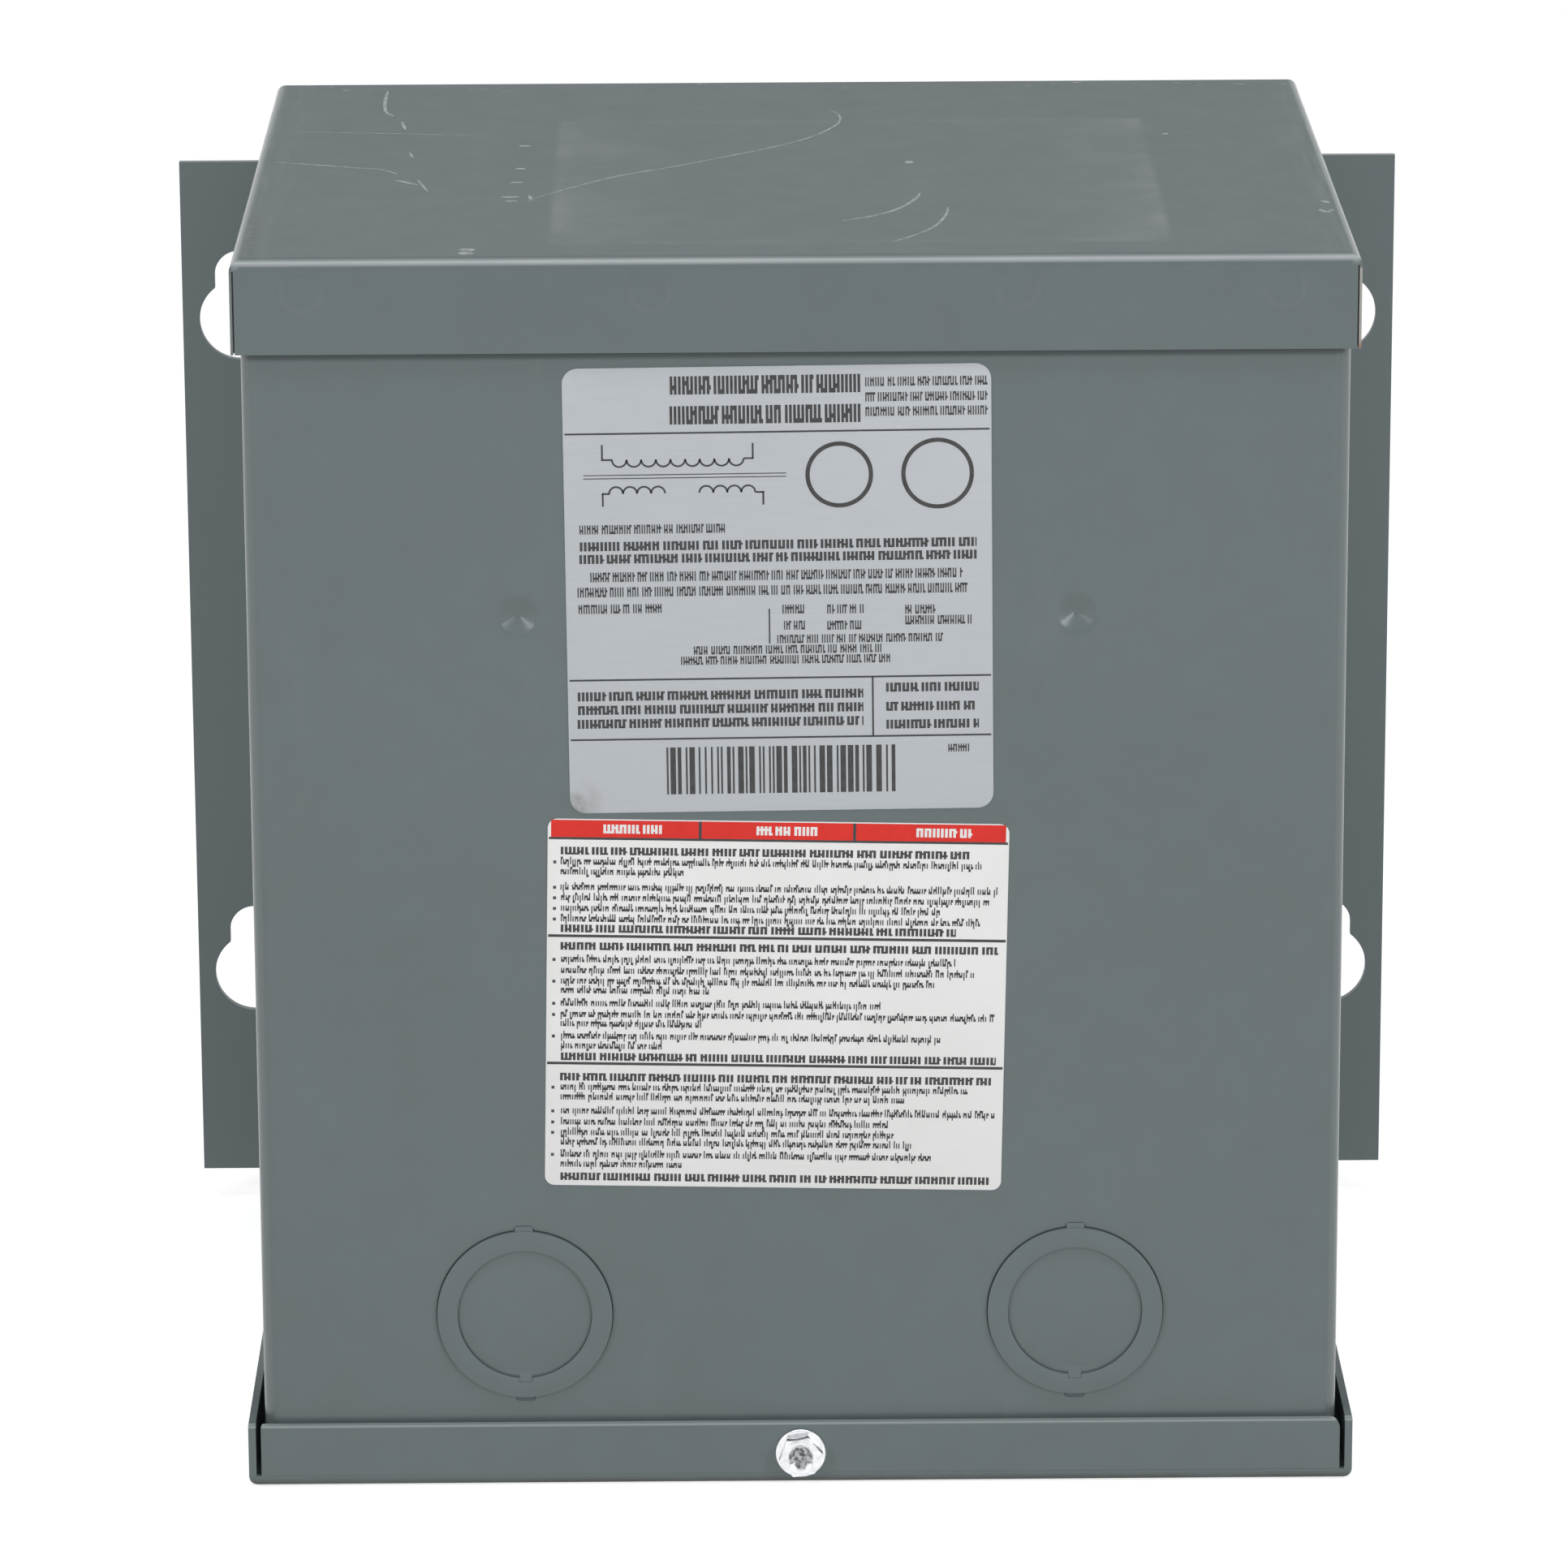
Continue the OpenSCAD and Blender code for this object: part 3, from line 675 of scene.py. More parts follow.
# the cut end of each side lip shows bare steel with a little rust
lip_end = maths(
    tree,
    "MULTIPLY",
    ramp(tree, reach, top_high.x - LIP_END, top_high.x - LIP_END + 0.15 * MM),
    ramp(tree, y, top_low.y + 0.12 * MM, top_low.y + 0.3 * MM, 1.0, 0.0),
)
below_bend = ramp(tree, z, top_high.z - 2.6 * MM, top_high.z - 2.1 * MM, 1.0, 0.0)
lip_end = maths(tree, "MULTIPLY", lip_end, below_bend)
right_only = ramp(tree, x, -0.01, 0.01, 0.12, 0.8)
bare_end = maths(tree, "MULTIPLY", lip_end, right_only)
paint, rough = lay_wear_and_painted_light(tree, bare_end, paint, rough, BARE_STEEL, 0.35)
lowest = ramp(tree, z, top_low.z + 0.5 * MM, top_low.z + 1.5 * MM, 0.8, 0.0)
rust_spot = maths(tree, "MULTIPLY", bare_end, lowest)
paint, rough = lay_wear_and_painted_light(tree, rust_spot, paint, rough, RUST, 0.8)
# faint spot welds on the front lip
WELD_Z = 202.5 * MM
weld = None
for weld_x in (-79, -23.4, 35.5, 78):
    across = maths(tree, "SUBTRACT", x, weld_x * MM)
    up = maths(tree, "SUBTRACT", z, WELD_Z)
    spot = ramp(tree, distance(tree, across, up), 2.6 * MM, 3.8 * MM, 1.0, 0.0)
    weld = spot if weld is None else maths(tree, "MAXIMUM", weld, spot)
weld = maths(tree, "MULTIPLY", weld, ramp(tree, y, top_low.y + 0.3 * MM, top_low.y + 0.5 * MM, 1.0, 0.0))
bump(tree, shader, weld, 0.12 * MM, 1.0)
halo = maths(tree, "MULTIPLY", weld, maths(tree, "SUBTRACT", 1.0, weld))
paint, rough = lay_wear_and_painted_light(tree, maths(tree, "MULTIPLY", halo, 0.35), paint, rough, (0.2, 0.23, 0.24), 0.3)
join(tree, shader, paint, rough)
dress(lid, lid_paint)


# ---------------------------------------------------------------- back plate
# A flat 1.5 mm steel plate that hangs the box on a wall by four keyholes. Its
# enamel is the box's grey made a quarter lighter, as painted light against the shade the body casts on it,
# and flatter.
KEY_R, KEY_SLOT_R, KEY_RISE = 7.25 * MM, 4.4 * MM, 8.1 * MM
KEY_X, KEY_Z = 97.7 * MM, (43.9 * MM, 165.6 * MM)
plate = block("back_plate_sheet", plate_low, plate_high)
for x in (-KEY_X, KEY_X):
    for z in KEY_Z:
        deep = (plate_low.y - MM, plate_high.y + MM)
        carve(
            plate,
            drum("entry", (x, z), KEY_R, *deep),
            drum("slot_end", (x, z + KEY_RISE), KEY_SLOT_R, *deep, 64),
            block(
                "slot",
                (x - KEY_SLOT_R, deep[0], z),
                (x + KEY_SLOT_R, deep[1], z + KEY_RISE),
            ),
        )
ease(plate, 0.2 * MM)
finish_piece(plate, "plate_paint", "back_plate")
# painted light: the plate's paint is lifted above the box's grey so its shaded faces come out as light as the
# box
plate_paint, tree, shader, place, paint, rough = enamel(
    "back_plate_lightened_enamel", (0.15, 0.184, 0.19), (0.09, 0.11, 0.116), 0.4
)
x, y, z = axis(tree, place)
side_edge = ramp(tree, maths(tree, "ABSOLUTE", x), 106.9 * MM, 107.9 * MM)
edge = maths(tree, "MAXIMUM", side_edge, ramp(tree, z, 193.4 * MM, 194.2 * MM))
chip = ramp(tree, noise(tree, place, 260, 3), 0.58, 0.66)
chipped = maths(tree, "MULTIPLY", maths(tree, "MULTIPLY", edge, chip), 0.3)
paint, rough = lay_wear_and_painted_light(tree, chipped, paint, rough, RUBBED_AND_HIGHLIGHT, 0.4)
join(tree, shader, paint, rough)
dress(plate, plate_paint)


# ---------------------------------------------------------------- bottom cover
# A folded steel pan that closes the wiring space from below. Its front lip is
# shorter than the pan is wide, so a slot stays open beside each side lip.
BEND_BOTTOM = 2.1 * MM
pan_low, pan_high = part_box("bottom_cover")
LIP_X = 89.5 * MM
SLOT_X = 90.35 * MM
pan = block("bottom_cover_pan", pan_low, pan_high)
pick(pan, "FACE", lambda c, n: n.z > 0.9)
bpy.ops.mesh.delete(type="FACE")
leave()
pick(
    pan,
    "EDGE",
    lambda c, d: c.z < 1e-6 and c.y < pan_high.y - 1e-6,
)
bpy.ops.mesh.bevel(offset=BEND_BOTTOM, offset_type="OFFSET", segments=8, profile=0.5)
leave()
thicken(pan, SHEET)
for sign in (-1, 1):
    near, far = sorted((sign * LIP_X, sign * SLOT_X))
    carve(
        pan,
        block(
            "slot",
            (near, pan_low.y - MM, BEND_BOTTOM),
            (far, pan_low.y + SHEET + 0.3 * MM, pan_high.z + MM),
        ),
    )
carve(
    pan,
    block(
        "plate_room",
        (-90.4 * MM, plate_low.y - 0.4 * MM, plate_low.z - 0.4 * MM),
        (90.4 * MM, pan_high.y + MM, pan_high.z + MM),
    ),
    drum("screw_hole", (SCREW_X, SCREW_Z), 2.45 * MM, pan_low.y - MM, pan_low.y + 2 * MM, 48),
)


def lip_corner(side):
    return lambda c, d: (
        abs(c.x - side * LIP_X) < 0.05 * MM
        and c.z > pan_high.z - 0.05 * MM
        and c.y < pan_low.y + SHEET + 0.1 * MM
        and abs(d.y) > 0.9
    )


for side, radius in ((1, 1.6 * MM), (-1, 0.5 * MM)):
    pick(pan, "EDGE", lip_corner(side))
    bpy.ops.mesh.bevel(offset=radius, offset_type="OFFSET", segments=6, profile=0.5)
    leave()
ease(pan, 0.22 * MM)
finish_piece(pan, "box_paint", "bottom_cover")
pan_paint, tree, shader, place, paint, rough = enamel("bottom_cover_enamel")
x, y, z = axis(tree, place)
# painted shade: the bottom bend is darker and rougher where it meets the floor, in uneven streaks
bottom_shade_streaks = noise(tree, place, 120, 4, 0.6, (0.3, 1.0, 1.0))
lowest = ramp(tree, z, 0.8 * MM, 1.9 * MM, 1.0, 0.0)
foot = maths(tree, "MULTIPLY", lowest, ramp(tree, bottom_shade_streaks, 0.2, 0.5, 0.6, 1.0))
foot = maths(tree, "MULTIPLY", foot, 0.85)
paint, rough = lay_wear_and_painted_light(tree, foot, paint, rough, (0.09, 0.1, 0.095), 0.9)
# painted highlight: a pale, glossy line along the top edge of the front lip
lip_top_highlight = maths(
    tree,
    "MULTIPLY",
    ramp(tree, z, pan_high.z - 0.5 * MM, pan_high.z - 0.25 * MM),
    ramp(tree, y, pan_low.y + 1.3 * MM, pan_low.y + 1.6 * MM, 1.0, 0.0),
)
paint, rough = lay_wear_and_painted_light(tree, maths(tree, "MULTIPLY", lip_top_highlight, 0.9), paint, rough, (0.3, 0.33, 0.34), 0.3)
join(tree, shader, paint, rough)
dress(pan, pan_paint)


# ---------------------------------------------------------------- knockouts
# Each conduit entry is a disc inside a ring, both sheared from the front wall
# and held by short bridges; the ring stands a little proud of the sheet.
DISC_R = 11.1 * MM
SHEAR = 0.03 * MM
RING_PROUD, DISC_PROUD = 0.6 * MM, 0.1 * MM
DISC_TAB_W = 2.2 * MM


def bridge(name, x, z_in, z_out, width, y_in, y_out, back):
    """A tab that slopes from a raised knockout down to the sheet."""
    tab = block(name, (x - width / 2, y_in, min(z_in, z_out)), (x + width / 2, back, max(z_in, z_out)))
    outer = max if z_out > z_in else min
    edge_z = outer(z_in, z_out)
    pick(tab, "EDGE", lambda c, d: abs(c.z - edge_z) < 1e-6 and c.y < y_in + 1e-6)
    bpy.ops.transform.translate(value=(0, y_out - y_in, 0))
    leave()
    return tab


def soften(piece, width):
    edge = piece.modifiers.new("edge", "BEVEL")
    edge.width = width
    edge.segments = 3
    edge.limit_method = "ANGLE"
    edge.angle_limit = math.radians(40)
    apply_all(piece)
    show_only(piece)
    bpy.ops.object.shade_smooth_by_angle(angle=math.radians(35))


for side in ("left", "right"):
    x, z = knockouts[side]
    face = front - RING_PROUD
    back = face + SHEET
    ring = drum("knockout_ring_" + side + "_sheet", (x, z), RING_R - SHEAR, face, back, 128)
    carve(ring, drum("hole", (x, z), DISC_R, face - MM, back + MM, 128))
    carve(
        ring,
        block(
            "slot",
            (x - DISC_TAB_W / 2, face - MM, z - DISC_R - TAB_REACH),
            (x + DISC_TAB_W / 2, back + MM, z),
        ),
    )
    for sign in (-1, 1):
        tab = bridge(
            "tab",
            x,
            z + sign * (RING_R - 1.0 * MM),
            z + sign * (RING_R + TAB_REACH),
            TAB_W,
            face + 0.02 * MM,
            front + 0.02 * MM,
            back - 0.02 * MM,
        )
        carve(ring, tab, operation="UNION")
    soften(ring, 0.24 * MM)
    finish_piece(ring, "box_paint", "knockout_ring_" + side)
    dress(ring, box_paint)

    disc_face = front - DISC_PROUD
    disc = drum("knockout_disc_" + side + "_sheet", (x, z), DISC_R - SHEAR, disc_face, disc_face + SHEET, 128)
    tab = bridge(
        "tab",
        x,
        z - DISC_R + 1.0 * MM,
        z - DISC_R - TAB_REACH + 0.05 * MM,
        DISC_TAB_W - 0.04 * MM,
        disc_face + 0.02 * MM,
        front - RING_PROUD + 0.05 * MM,
        disc_face + SHEET - 0.02 * MM,
    )
    carve(disc, tab, operation="UNION")
    soften(disc, 0.2 * MM)
    finish_piece(disc, "box_paint", "knockout_disc_" + side)
    dress(disc, box_paint)


# ---------------------------------------------------------------- cover screw
# A number 8 hexagon washer-head screw, zinc plated, with a dished recess. It
# goes through the bottom cover's front lip into the body.
WASHER_R, WASHER_T = 4.2 * MM, 0.8 * MM
HEX_R = 6.35 * MM / math.sqrt(3)
HEX_TURN = math.radians(21)
RECESS_R, RECESS_DEPTH = 2.3 * MM, 0.8 * MM
head_y = screw_low.y
washer_y = pan_low.y
screw_at = (SCREW_X, SCREW_Z)
screw = drum("cover_screw_body", screw_at, WASHER_R, washer_y - WASHER_T, washer_y, 96)
pick(screw, "EDGE", lambda c, d: c.y < washer_y - WASHER_T + 1e-6)
bpy.ops.mesh.bevel(offset=0.35 * MM, offset_type="OFFSET", segments=4, profile=0.5)
leave()
hexagon = drum("hexagon", screw_at, HEX_R, head_y, washer_y - WASHER_T / 2, 6, HEX_TURN)
crown = cone("crown", screw_at, 3.2 * MM, 8 * MM, head_y, washer_y, 96)
carve(hexagon, crown, operation="INTERSECT")
carve(screw, hexagon, operation="UNION")
shank = drum("shank", screw_at, 2.05 * MM, washer_y - WASHER_T / 2, screw_high.y, 32)
carve(screw, shank, operation="UNION")
dish_r = (RECESS_R**2 + RECESS_DEPTH**2) / (2 * RECESS_DEPTH)
bpy.ops.object.select_all(action="DESELECT")
bpy.ops.mesh.primitive_uv_sphere_add(
    segments=96,
    ring_count=64,
    radius=dish_r,
    location=(SCREW_X, head_y + RECESS_DEPTH - dish_r, SCREW_Z),
    rotation=(math.pi / 2, 0, 0),
)
dish = bpy.context.object
bpy.ops.object.transform_apply(location=True, rotation=True, scale=True)
carve(screw, dish)
soften(screw, 0.14 * MM)
finish_piece(screw, "zinc", "cover_screw")
zinc_plate, tree, shader, place = new_material("zinc_plate")
x, y, z = axis(tree, place)
grain = noise(tree, place, 1400, 3)
tone = blend_colour(tree, ramp(tree, grain, 0.3, 0.7), (0.62, 0.63, 0.65), (0.82, 0.83, 0.85))
off_x = maths(tree, "SUBTRACT", x, SCREW_X)
off_z = maths(tree, "SUBTRACT", z, SCREW_Z)
radius = distance(tree, off_x, off_z)
# painted shade: the inside of the dished recess is darkened, unevenly
in_dish = maths(
    tree,
    "MULTIPLY",
    ramp(tree, radius, RECESS_R - 0.5 * MM, RECESS_R - 0.05 * MM, 1.0, 0.0),
    ramp(tree, y, head_y + 0.05 * MM, head_y + 0.25 * MM),
)
recess_shade = maths(tree, "MULTIPLY", in_dish, ramp(tree, noise(tree, place, 1100, 2), 0.4, 0.6, 0.5, 0.95))
shaded_zinc = blend_colour(tree, recess_shade, tone, (0.05, 0.05, 0.05))
join(tree, shader, shaded_zinc, ramp(tree, grain, 0.3, 0.7, 0.12, 0.22))
shader.inputs["Metallic"].default_value = 1.0
bump(tree, shader, grain, 0.01 * MM)
dress(screw, zinc_plate)


# ---------------------------------------------------------------- rating plate
# A silver foil label stuck on the front, with black print. The print is only
# generic: rows of illegible strokes, rules, bars and a winding symbol.
INK_T = 0.02
LABEL_T = 0.2 * MM


def turn_label(piece, centre, degrees):
    """Turns a flat piece on the front wall, counter-clockwise as seen from the front."""
    middle = Vector((centre[0], 0, centre[1]))
    turn = Matrix.Rotation(math.radians(-degrees), 4, "Y")
    piece.matrix_world = Matrix.Translation(middle) @ turn @ Matrix.Translation(-middle)
    show_only(piece)
    bpy.ops.object.transform_apply(location=True, rotation=True, scale=True)


def label_slab(name, centre, width, height, radius, degrees):
    """A label with rounded corners, lying on the front wall."""
    slab = block(
        name,
        (centre[0] - width / 2, front - LABEL_T, centre[1] - height / 2),
        (centre[0] + width / 2, front, centre[1] + height / 2),
    )
    pick(slab, "EDGE", lambda c, d: abs(d.y) > 0.9)
    bpy.ops.mesh.bevel(offset=radius, offset_type="OFFSET", segments=10, profile=0.5)
    leave()
    pick(slab, "EDGE", lambda c, d: c.y < front - LABEL_T + 1e-6 and abs(d.y) < 0.1)
    bpy.ops.mesh.bevel(offset=0.06 * MM, offset_type="OFFSET", segments=2, profile=0.5)
    leave()
    show_only(slab)
    bpy.ops.object.shade_smooth_by_angle(angle=math.radians(30))
    turn_label(slab, centre, degrees)
    return slab


def front_grid(columns, rows, x0, x1, z0, z1):
    """A flat grid on the front of a label, between two corners in millimetres."""
    bpy.ops.object.select_all(action="DESELECT")
    bpy.ops.mesh.primitive_grid_add(
        x_subdivisions=columns,
        y_subdivisions=rows,
        size=1,
        location=((x0 + x1) / 2 * MM, front - LABEL_T, (z0 + z1) / 2 * MM),
        rotation=(math.pi / 2, 0, 0),
    )
    grid = bpy.context.object
    grid.scale = ((x1 - x0) * MM, (z1 - z0) * MM, 1)
    bpy.ops.object.transform_apply(location=True, rotation=True, scale=True)
    return grid


def word_row(draw, centre, z, x0, x1, size, kind):
    """One row of word-length groups of short strokes, which spell nothing: bold, caps or small."""
    cell = {"bold": 0.22, "caps": 0.2, "small": 0.19}[kind]
    columns = max(4, round((x1 - x0) / cell))
    cx, cz = centre[0] / MM, centre[1] / MM
    grid = front_grid(columns, 4, cx + x0, cx + x1, cz + z - size / 2, cz + z + size / 2)
    reaches = [(0, 1, 2, 3)] if kind != "small" else [(1, 2)] * 5 + [(1, 2, 3)] * 2 + [(0, 1, 2)]
    ink = set()
    column = 0
    while column < columns:
        for _ in range(draw.randint(3, 12)):
            reach = draw.choice(reaches)
            for _ in range(2 if kind == "bold" else 1):
                ink.update((column, level) for level in reach)
                column += 1
            if draw.random() < 0.6:
                ink.add((column, draw.choice(reach)))
            column += 1
        column += 2
    low = (cx + x0) * MM
    base = (cz + z - size / 2) * MM
    step, rise = (x1 - x0) * MM / columns, size * MM / 4

    def blank(c, n):
        return (int((c.x - low) / step), int((c.z - base) / rise)) not in ink

    pick(grid, "FACE", blank)
    bpy.ops.mesh.delete(type="FACE")
    leave()
    return grid


def bar(centre, x0, x1, z0, z1):
    """A plain printed bar or rule."""
    cx, cz = centre[0] / MM, centre[1] / MM
    return front_grid(1, 1, cx + x0, cx + x1, cz + z0, cz + z1)


def line(points, width, ground, across=False):
    """A ribbon along a smooth path: on the cover's top, or across the front in a printed line."""
    steps = (len(points) - 1) * 4
    bpy.ops.object.select_all(action="DESELECT")
    bpy.ops.mesh.primitive_grid_add(x_subdivisions=steps, y_subdivisions=1, size=1)
    ribbon = bpy.context.object
    path = [Vector((p[0], p[1])) for p in points]
    for vertex in ribbon.data.vertices:
        step = round((vertex.co.x + 0.5) * steps)
        index = min(step // 4, len(path) - 2)
        part = step / 4 - index
        before, start = path[max(index - 1, 0)], path[index]
        end, after = path[index + 1], path[min(index + 2, len(path) - 1)]
        spot = 0.5 * (
            2 * start
            + (end - before) * part
            + (2 * before - 5 * start + 4 * end - after) * part**2
            + (3 * start - before - 3 * end + after) * part**3
        )
        slope = (end - before) * (1 - part) + (after - start) * part
        aside = Vector((-slope.y, slope.x)).normalized()
        reach = width(step / steps) if callable(width) else width
        spot += aside * reach / 2 * (1 if vertex.co.y > 0 else -1)
        if across:
            vertex.co = (spot.x * MM, ground, spot.y * MM)
        else:
            vertex.co = (spot.x * MM, spot.y * MM, ground)
    return ribbon


def print_piece(name, parts, thickness, centre=None, degrees=0):
    """Joins flat parts into one thin film that stands out of the surface they lie on."""
    bpy.ops.object.select_all(action="DESELECT")
    for part in parts:
        part.select_set(True)
    bpy.context.view_layer.objects.active = parts[0]
    bpy.ops.object.join()
    film = bpy.context.object
    film.name = name
    wall = film.modifiers.new("film", "SOLIDIFY")
    wall.thickness = thickness * MM
    wall.offset = 1
    apply_all(film)
    if centre:
        turn_label(film, centre, degrees)
    return film


rating_low, rating_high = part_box("rating_plate")
RATING_AT = ((rating_low.x + rating_high.x) / 2, (rating_low.z + rating_high.z) / 2)
RATING_TURN = 0.45
RATING_W, RATING_H, RATING_CORNER = 68.8 * MM, 74 * MM, 2.6 * MM
rating = label_slab("rating_plate_foil", RATING_AT, RATING_W, RATING_H, RATING_CORNER, RATING_TURN)
finish_piece(rating, "foil", "rating_plate")
foil, tree, shader, place = new_material("silver_foil")
x, y, z = axis(tree, place)
brushed = noise(tree, place, 2400, 3, 0.6, (0.05, 1.0, 1.0))
tone = blend_colour(tree, ramp(tree, brushed, 0.3, 0.7), (0.455, 0.48, 0.505), (0.48, 0.505, 0.53))
across = maths(tree, "SUBTRACT", x, RATING_AT[0] - 34 * MM)
up = maths(tree, "SUBTRACT", z, RATING_AT[1] - 36.5 * MM)
stain = ramp(tree, distance(tree, across, up), 1 * MM, 6 * MM, 1.0, 0.0)
stain = maths(tree, "MULTIPLY", stain, ramp(tree, noise(tree, place, 300, 4), 0.4, 0.62))
tone = blend_colour(tree, maths(tree, "MULTIPLY", stain, 0.55), tone, (0.13, 0.1, 0.07))
join(tree, shader, tone, ramp(tree, brushed, 0.3, 0.7, 0.38, 0.48))
shader.inputs["Metallic"].default_value = 0.25
bump(tree, shader, brushed, 0.002 * MM)
dress(rating, foil)

draw = random.Random(11)
# each row: its height on the label, its two ends, its size, and 1 where it is bold
RATING_ROWS = (
    (34.0, -17.1, 13.4, 3.0, 1), (29.1, -17.2, 13.4, 3.0, 1),
    (34.2, 14.2, 33.8, 1.5, 0), (31.7, 14.2, 33.8, 1.5, 0), (29.3, 14.2, 33.8, 1.5, 0),
    (10.4, -32.0, -8.6, 1.5, 0), (7.6, -32.0, 31.9, 1.5, 1), (5.5, -32.1, 31.9, 1.5, 1),
    (2.5, -30.4, 29.6, 1.6, 0), (0.0, -32.5, 30.4, 1.6, 0), (-2.8, -32.4, -19.0, 1.5, 0),
    (-3.2, 0.5, 4.2, 1.5, 0), (-3.3, 7.7, 13.6, 1.5, 0), (-3.5, 20.3, 25.2, 1.5, 0),
    (-5.3, 20.3, 31.0, 1.5, 0), (-5.9, 0.7, 4.1, 1.5, 0), (-6.0, 7.7, 13.6, 1.5, 0),
    (-8.2, -0.4, 26.4, 1.4, 0), (-9.9, -13.9, 16.4, 1.4, 0), (-11.6, -16.0, 17.8, 1.4, 0),
    (-17.4, -32.8, 13.4, 1.5, 1), (-19.7, -32.8, 13.4, 1.5, 1), (-22.0, -32.9, 13.4, 1.5, 1),
    (-16.5, 17.1, 32.1, 1.5, 1), (-19.7, 17.1, 32.1, 1.5, 1), (-22.7, 17.1, 32.1, 1.5, 1),
    (-26.8, 27.1, 30.5, 1.3, 0),
)
parts = [
    word_row(draw, RATING_AT, z, x0, x1, size, "bold" if heavy else "caps")
    for z, x0, x1, size, heavy in RATING_ROWS
]
for x0, x1, z0, z1 in (
    (-34.1, 34.1, 26.05, 26.35), (-34.1, 34.1, -14.82, -14.52), (-34.1, 34.1, -24.8, -24.5),
    (14.8, 15.1, -24.6, -14.7), (-1.75, -1.5, -8.9, -3.1),
):
    parts.append(bar(RATING_AT, x0, x1, z0, z1))
at = -18.6
while at < 18.2:
    width = draw.choice((0.3, 0.3, 0.6, 0.9))
    parts.append(bar(RATING_AT, at, at + width, -34.0, -26.1))
    at += width + draw.choice((0.3, 0.3, 0.6, 0.7))


def arc(cx, cz, radius, start, end, width=0.35, count=9):
    """A printed arc on the rating plate."""
    points = []
    for index in range(count):
        angle = math.radians(start + (end - start) * index / (count - 1))
        points.append(
            (
                RATING_AT[0] / MM + cx + radius * math.cos(angle),
                RATING_AT[1] / MM + cz + radius * math.sin(angle),
            )
        )
    return line(points, width, front - LABEL_T, across=True)


for bow in range(9):
    parts.append(arc(-25.4 + bow * 2.35, 21.9, 1.17, 180, 360, 0.3))
for bow in (0, 1, 2, 3, 6, 7, 8, 9):
    parts.append(arc(-26.0 + bow * 2.25 + (1.0 if bow > 5 else 0), 16.3, 1.12, 180, 0, 0.3))
for x0, x1, z0, z1 in (
    (-28.3, -28.0, 21.9, 24.4), (-28.3, -26.5, 21.75, 22.05), (-5.4, -3.8, 21.75, 22.05),
    (-4.1, -3.8, 21.9, 24.4), (-28.3, -28.0, 14.2, 16.4), (-28.3, -27.0, 16.15, 16.45),
    (-3.6, -2.2, 16.15, 16.45), (-2.5, -2.2, 14.2, 16.4), (-31.2, 1.4, 19.3, 19.45),
    (-31.2, 1.4, 18.75, 18.9),
):
    parts.append(bar(RATING_AT, x0, x1, z0, z1))
for cx, radius in ((9.9, 5.1), (25.7, 5.5)):
    parts.append(arc(cx, 19.0, radius, 0, 360, 0.7, 33))
rating_print = print_piece("rating_plate_print", parts, INK_T, RATING_AT, RATING_TURN)
finish_piece(rating_print, "foil")
ink, tree, shader, place = new_material("black_ink")
fade = ramp(tree, noise(tree, place, 800, 3), 0.3, 0.7)
black = blend_colour(tree, fade, (0.022, 0.022, 0.024), (0.05, 0.05, 0.052))
join(tree, shader, black, ramp(tree, fade, 0, 1, 0.45, 0.6))
bump(tree, shader, fade, 0.003 * MM)
dress(rating_print, ink)


# ---------------------------------------------------------------- notice label
# A white vinyl label with a red band along its top. The words of such a label
# are left out: the rows are strokes that spell nothing, between plain rules.
notice_low, notice_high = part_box("notice_label")
NOTICE_AT = ((notice_low.x + notice_high.x) / 2, (notice_low.z + notice_high.z) / 2)
NOTICE_TURN = -1.15
NOTICE_W, NOTICE_H, NOTICE_CORNER = 75.1 * MM, 62.7 * MM, 1.6 * MM
notice = label_slab("notice_label_vinyl", NOTICE_AT, NOTICE_W, NOTICE_H, NOTICE_CORNER, NOTICE_TURN)
finish_piece(notice, "white_film", "notice_label")
vinyl, tree, shader, place = new_material("white_vinyl")
soil = ramp(tree, noise(tree, place, 45, 4), 0.35, 0.75)
white = blend_colour(tree, soil, (0.86, 0.865, 0.855), (0.81, 0.815, 0.8))
join(tree, shader, white, ramp(tree, soil, 0, 1, 0.42, 0.52))
bump(tree, shader, noise(tree, place, 500, 2), 0.006 * MM)
dress(notice, vinyl)

# each row: its height on the label, its two ends, b bold, * with a bullet
NOTICE_ROWS = (
    (26.0, -35.4, 31.1, "b"), (24.1, -35.4, 33.1, "*"), (22.4, -35.4, -15.0, ""), (19.8, -35.4, 35.8, "*"),
    (18.0, -35.3, 34.5, "*"), (16.2, -35.3, 26.5, "*"), (14.4, -35.3, 33.3, "*"), (12.8, -35.3, 29.2, "b"),
    (9.8, -35.3, 36.2, "b"), (7.5, -35.2, 29.2, "*"), (5.6, -35.2, 32.3, ""), (3.8, -35.2, 26.4, "*"),
    (2.2, -35.2, -10.8, ""), (0.0, -35.2, 17.1, "*"), (-1.9, -35.2, 35.8, "*"), (-3.5, -35.2, -12.0, ""),
    (-5.6, -35.1, 27.2, "*"), (-7.3, -35.1, -18.6, ""), (-9.1, -35.1, 36.2, "b"), (-12.6, -35.2, 35.5, "b"),
    (-14.4, -35.1, 31.7, "*"), (-16.1, -35.1, 21.5, ""), (-18.5, -35.0, 36.2, "*"), (-20.4, -35.0, 18.9, "*"),
    (-22.2, -35.0, 19.7, "*"), (-23.9, -35.0, 22.6, ""), (-26.0, -35.0, 25.9, "*"), (-27.7, -35.0, -15.1, ""),
    (-29.8, -35.0, 35.5, "b"),
)
parts = []
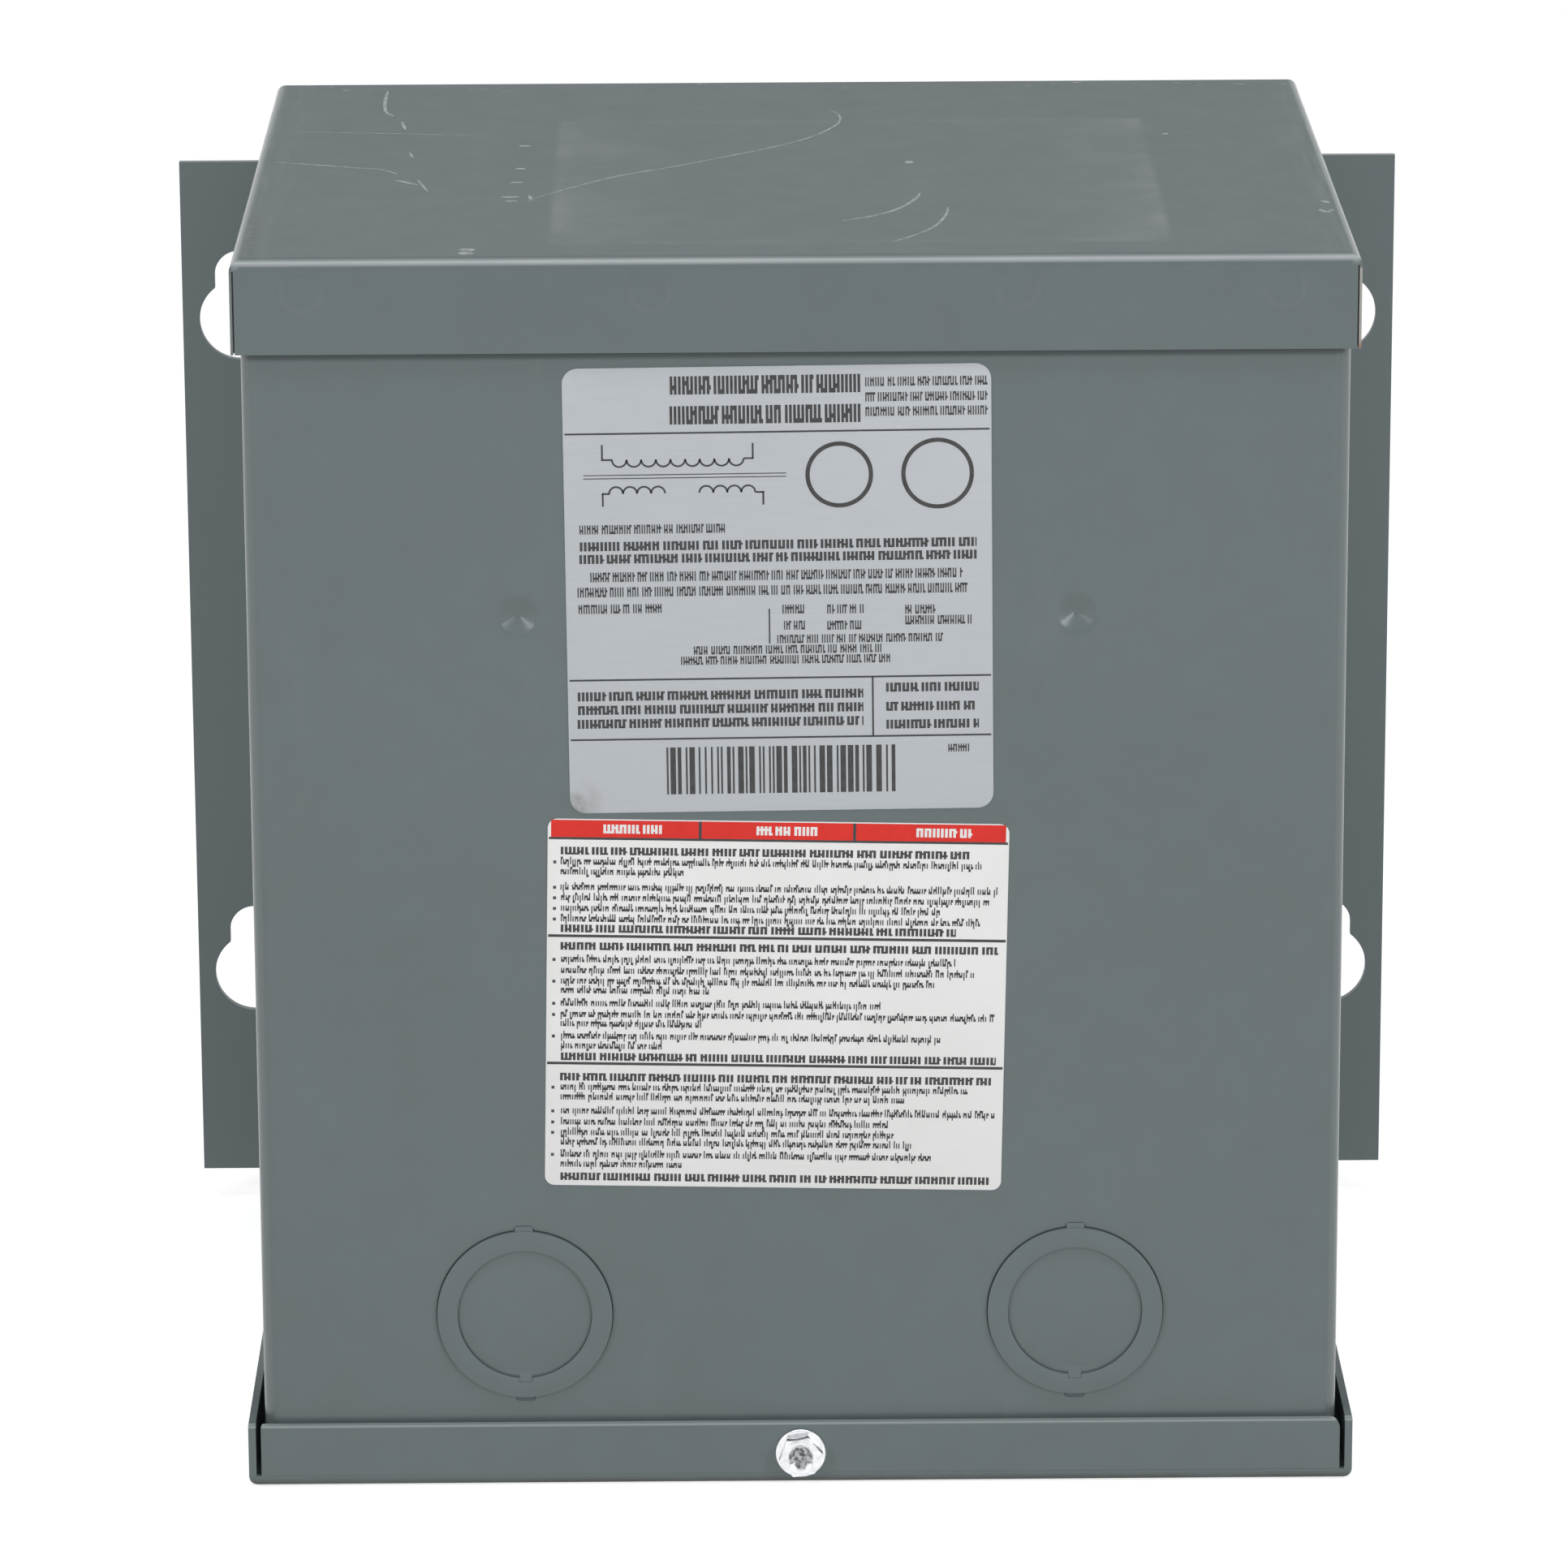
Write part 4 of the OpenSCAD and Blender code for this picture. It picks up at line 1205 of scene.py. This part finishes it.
for z, x0, x1, kind in NOTICE_ROWS:
    heavy = kind == "b"
    parts.append(word_row(draw, NOTICE_AT, z, x0, x1, 1.3 if heavy else 1.75, "bold" if heavy else "small"))
    if kind == "*":
        parts.append(bar(NOTICE_AT, -36.6, -36.1, z - 0.3, z + 0.2))
for x0, x1, z0, z1 in (
    (-37.35, 37.35, 11.3, 11.75), (-37.35, 37.35, -10.5, -10.05), (-37.35, 37.35, 27.9, 28.3),
    (-13.0, -12.5, 28.3, 31.2), (12.1, 12.6, 28.3, 31.2),
):
    parts.append(bar(NOTICE_AT, x0, x1, z0, z1))
notice_print = print_piece("notice_label_print", parts, INK_T, NOTICE_AT, NOTICE_TURN)
finish_piece(notice_print, "white_film")
dress(notice_print, ink)

band_parts = [bar(NOTICE_AT, x0, x1, 28.3, 31.2) for x0, x1 in ((-37.0, -13.0), (-12.5, 12.1), (12.6, 37.0))]
red_band = print_piece("notice_label_band", band_parts, INK_T, NOTICE_AT, NOTICE_TURN)
finish_piece(red_band, "white_film")
red_ink, tree, shader, place = new_material("red_ink")
fade = ramp(tree, noise(tree, place, 300, 3), 0.3, 0.7)
red = blend_colour(tree, fade, (0.66, 0.012, 0.004), (0.74, 0.02, 0.01))
join(tree, shader, red, ramp(tree, fade, 0, 1, 0.4, 0.5))
bump(tree, shader, fade, 0.003 * MM)
dress(red_band, red_ink)

# the strokes on the band are white and lie on its ink
words = [
    word_row(draw, NOTICE_AT, 29.75, x0, x1, 1.5, "bold")
    for x0, x1 in ((-28.5, -19), (-3.6, 6.5), (22.4, 31.5))
]
for film in words:
    film.location.y = -INK_T * MM
    show_only(film)
    bpy.ops.object.transform_apply(location=True, rotation=True, scale=True)
white_print = print_piece("notice_label_band_print", words, 0.01, NOTICE_AT, NOTICE_TURN)
finish_piece(white_print, "white_film")
dress(white_print, vinyl)


# ---------------------------------------------------------------- scratches on the cover
# Things slid over the cover have left long bent scratches down to the primer.
# Each is a thin film laid along a smooth path, thin at its ends and uneven.
def hand(width):
    """A scratch's width along its length: thin at both ends and uneven between."""
    def at(part):
        end = min(1.0, 0.3 + 4 * min(part, 1 - part))
        return width * end * (0.75 + 0.5 * abs(math.sin(37 * part + 3 * width)))

    return at


SCRATCHES = (
    (0.4, ((-43.7, -27.5), (-37, -17.7), (-29, -7.7), (-21, -1.1), (-13, 6.3), (-4.7, 14.4),
            (2.3, 22.8), (6.6, 31.3), (8.7, 38.5), (8.6, 45.1), (6.9, 49.6))),
    (0.45, ((15.5, -62.3), (18.4, -58.6), (22.5, -51.1), (24.8, -41.4), (25.3, -34.9))),
    (0.6, ((7.7, -45.5), (12.2, -42.4), (16.9, -36.6), (20.2, -28.1), (21, -23.5))),
    (0.5, ((-70.4, 69.3), (-70.5, 59.5), (-70, 49.8), (-68.5, 46))),
    (0.45, ((-66.9, 40.8), (-66, 33.5))),
    (0.4, ((-64.6, 13.5), (-63.8, 8.6))),
    (0.4, ((-62.4, -10.1), (-60.4, -19.7))),
    (0.45, ((-86.9, 5.8), (-78.5, 2.7), (-73, 0.5), (-68.8, -1), (-65.9, -5.2))),
    (0.6, ((-66.2, -10), (-62.2, -14.2))),
    (0.22, ((-84.7, 32), (-65.8, 29.9), (-51.9, 27.3))),
    (1.7, ((-53.9, -66.6), (-51.3, -66.6))),
    (1.5, ((-53.9, -69.3), (-51.3, -69.3))),
    (1.2, ((-46.1, 18.6), (-44, 18.6))),
    (1.2, ((-46.3, -1), (-44.6, -1))),
    (1.2, ((-47, -12.6), (-44.7, -12.6))),
    (1.2, ((-48.1, -24.7), (-45.1, -24.7))),
    (1.2, ((-47.4, -28.1), (-45.3, -28.1))),
    (0.5, ((-43, -27.5), (-43.5, -23.5))),
    (1.6, ((19.2, 2.5), (20.6, 2.5))),
    (1.2, ((63.8, 25.8), (64.8, 25.8))),
    (1.1, ((85.9, -38.7), (87.0, -40.8), (88.2, -38.8))),
    (0.9, ((88, -33.5), (86.8, -31.5))),
)
parts = [line(points, hand(width), lid_top) for width, points in SCRATCHES]
scratches = print_piece("cover_scratches", parts, 0.015)
finish_piece(scratches, "box_paint")
primer, tree, shader, place = new_material("scratched_primer")
bite = ramp(tree, noise(tree, place, 700, 3), 0.35, 0.65)
bared = blend_colour(tree, bite, (0.22, 0.25, 0.255), (0.4, 0.43, 0.43))
join(tree, shader, bared, ramp(tree, bite, 0, 1, 0.7, 0.5))
bump(tree, shader, bite, 0.01 * MM)
dress(scratches, primer)
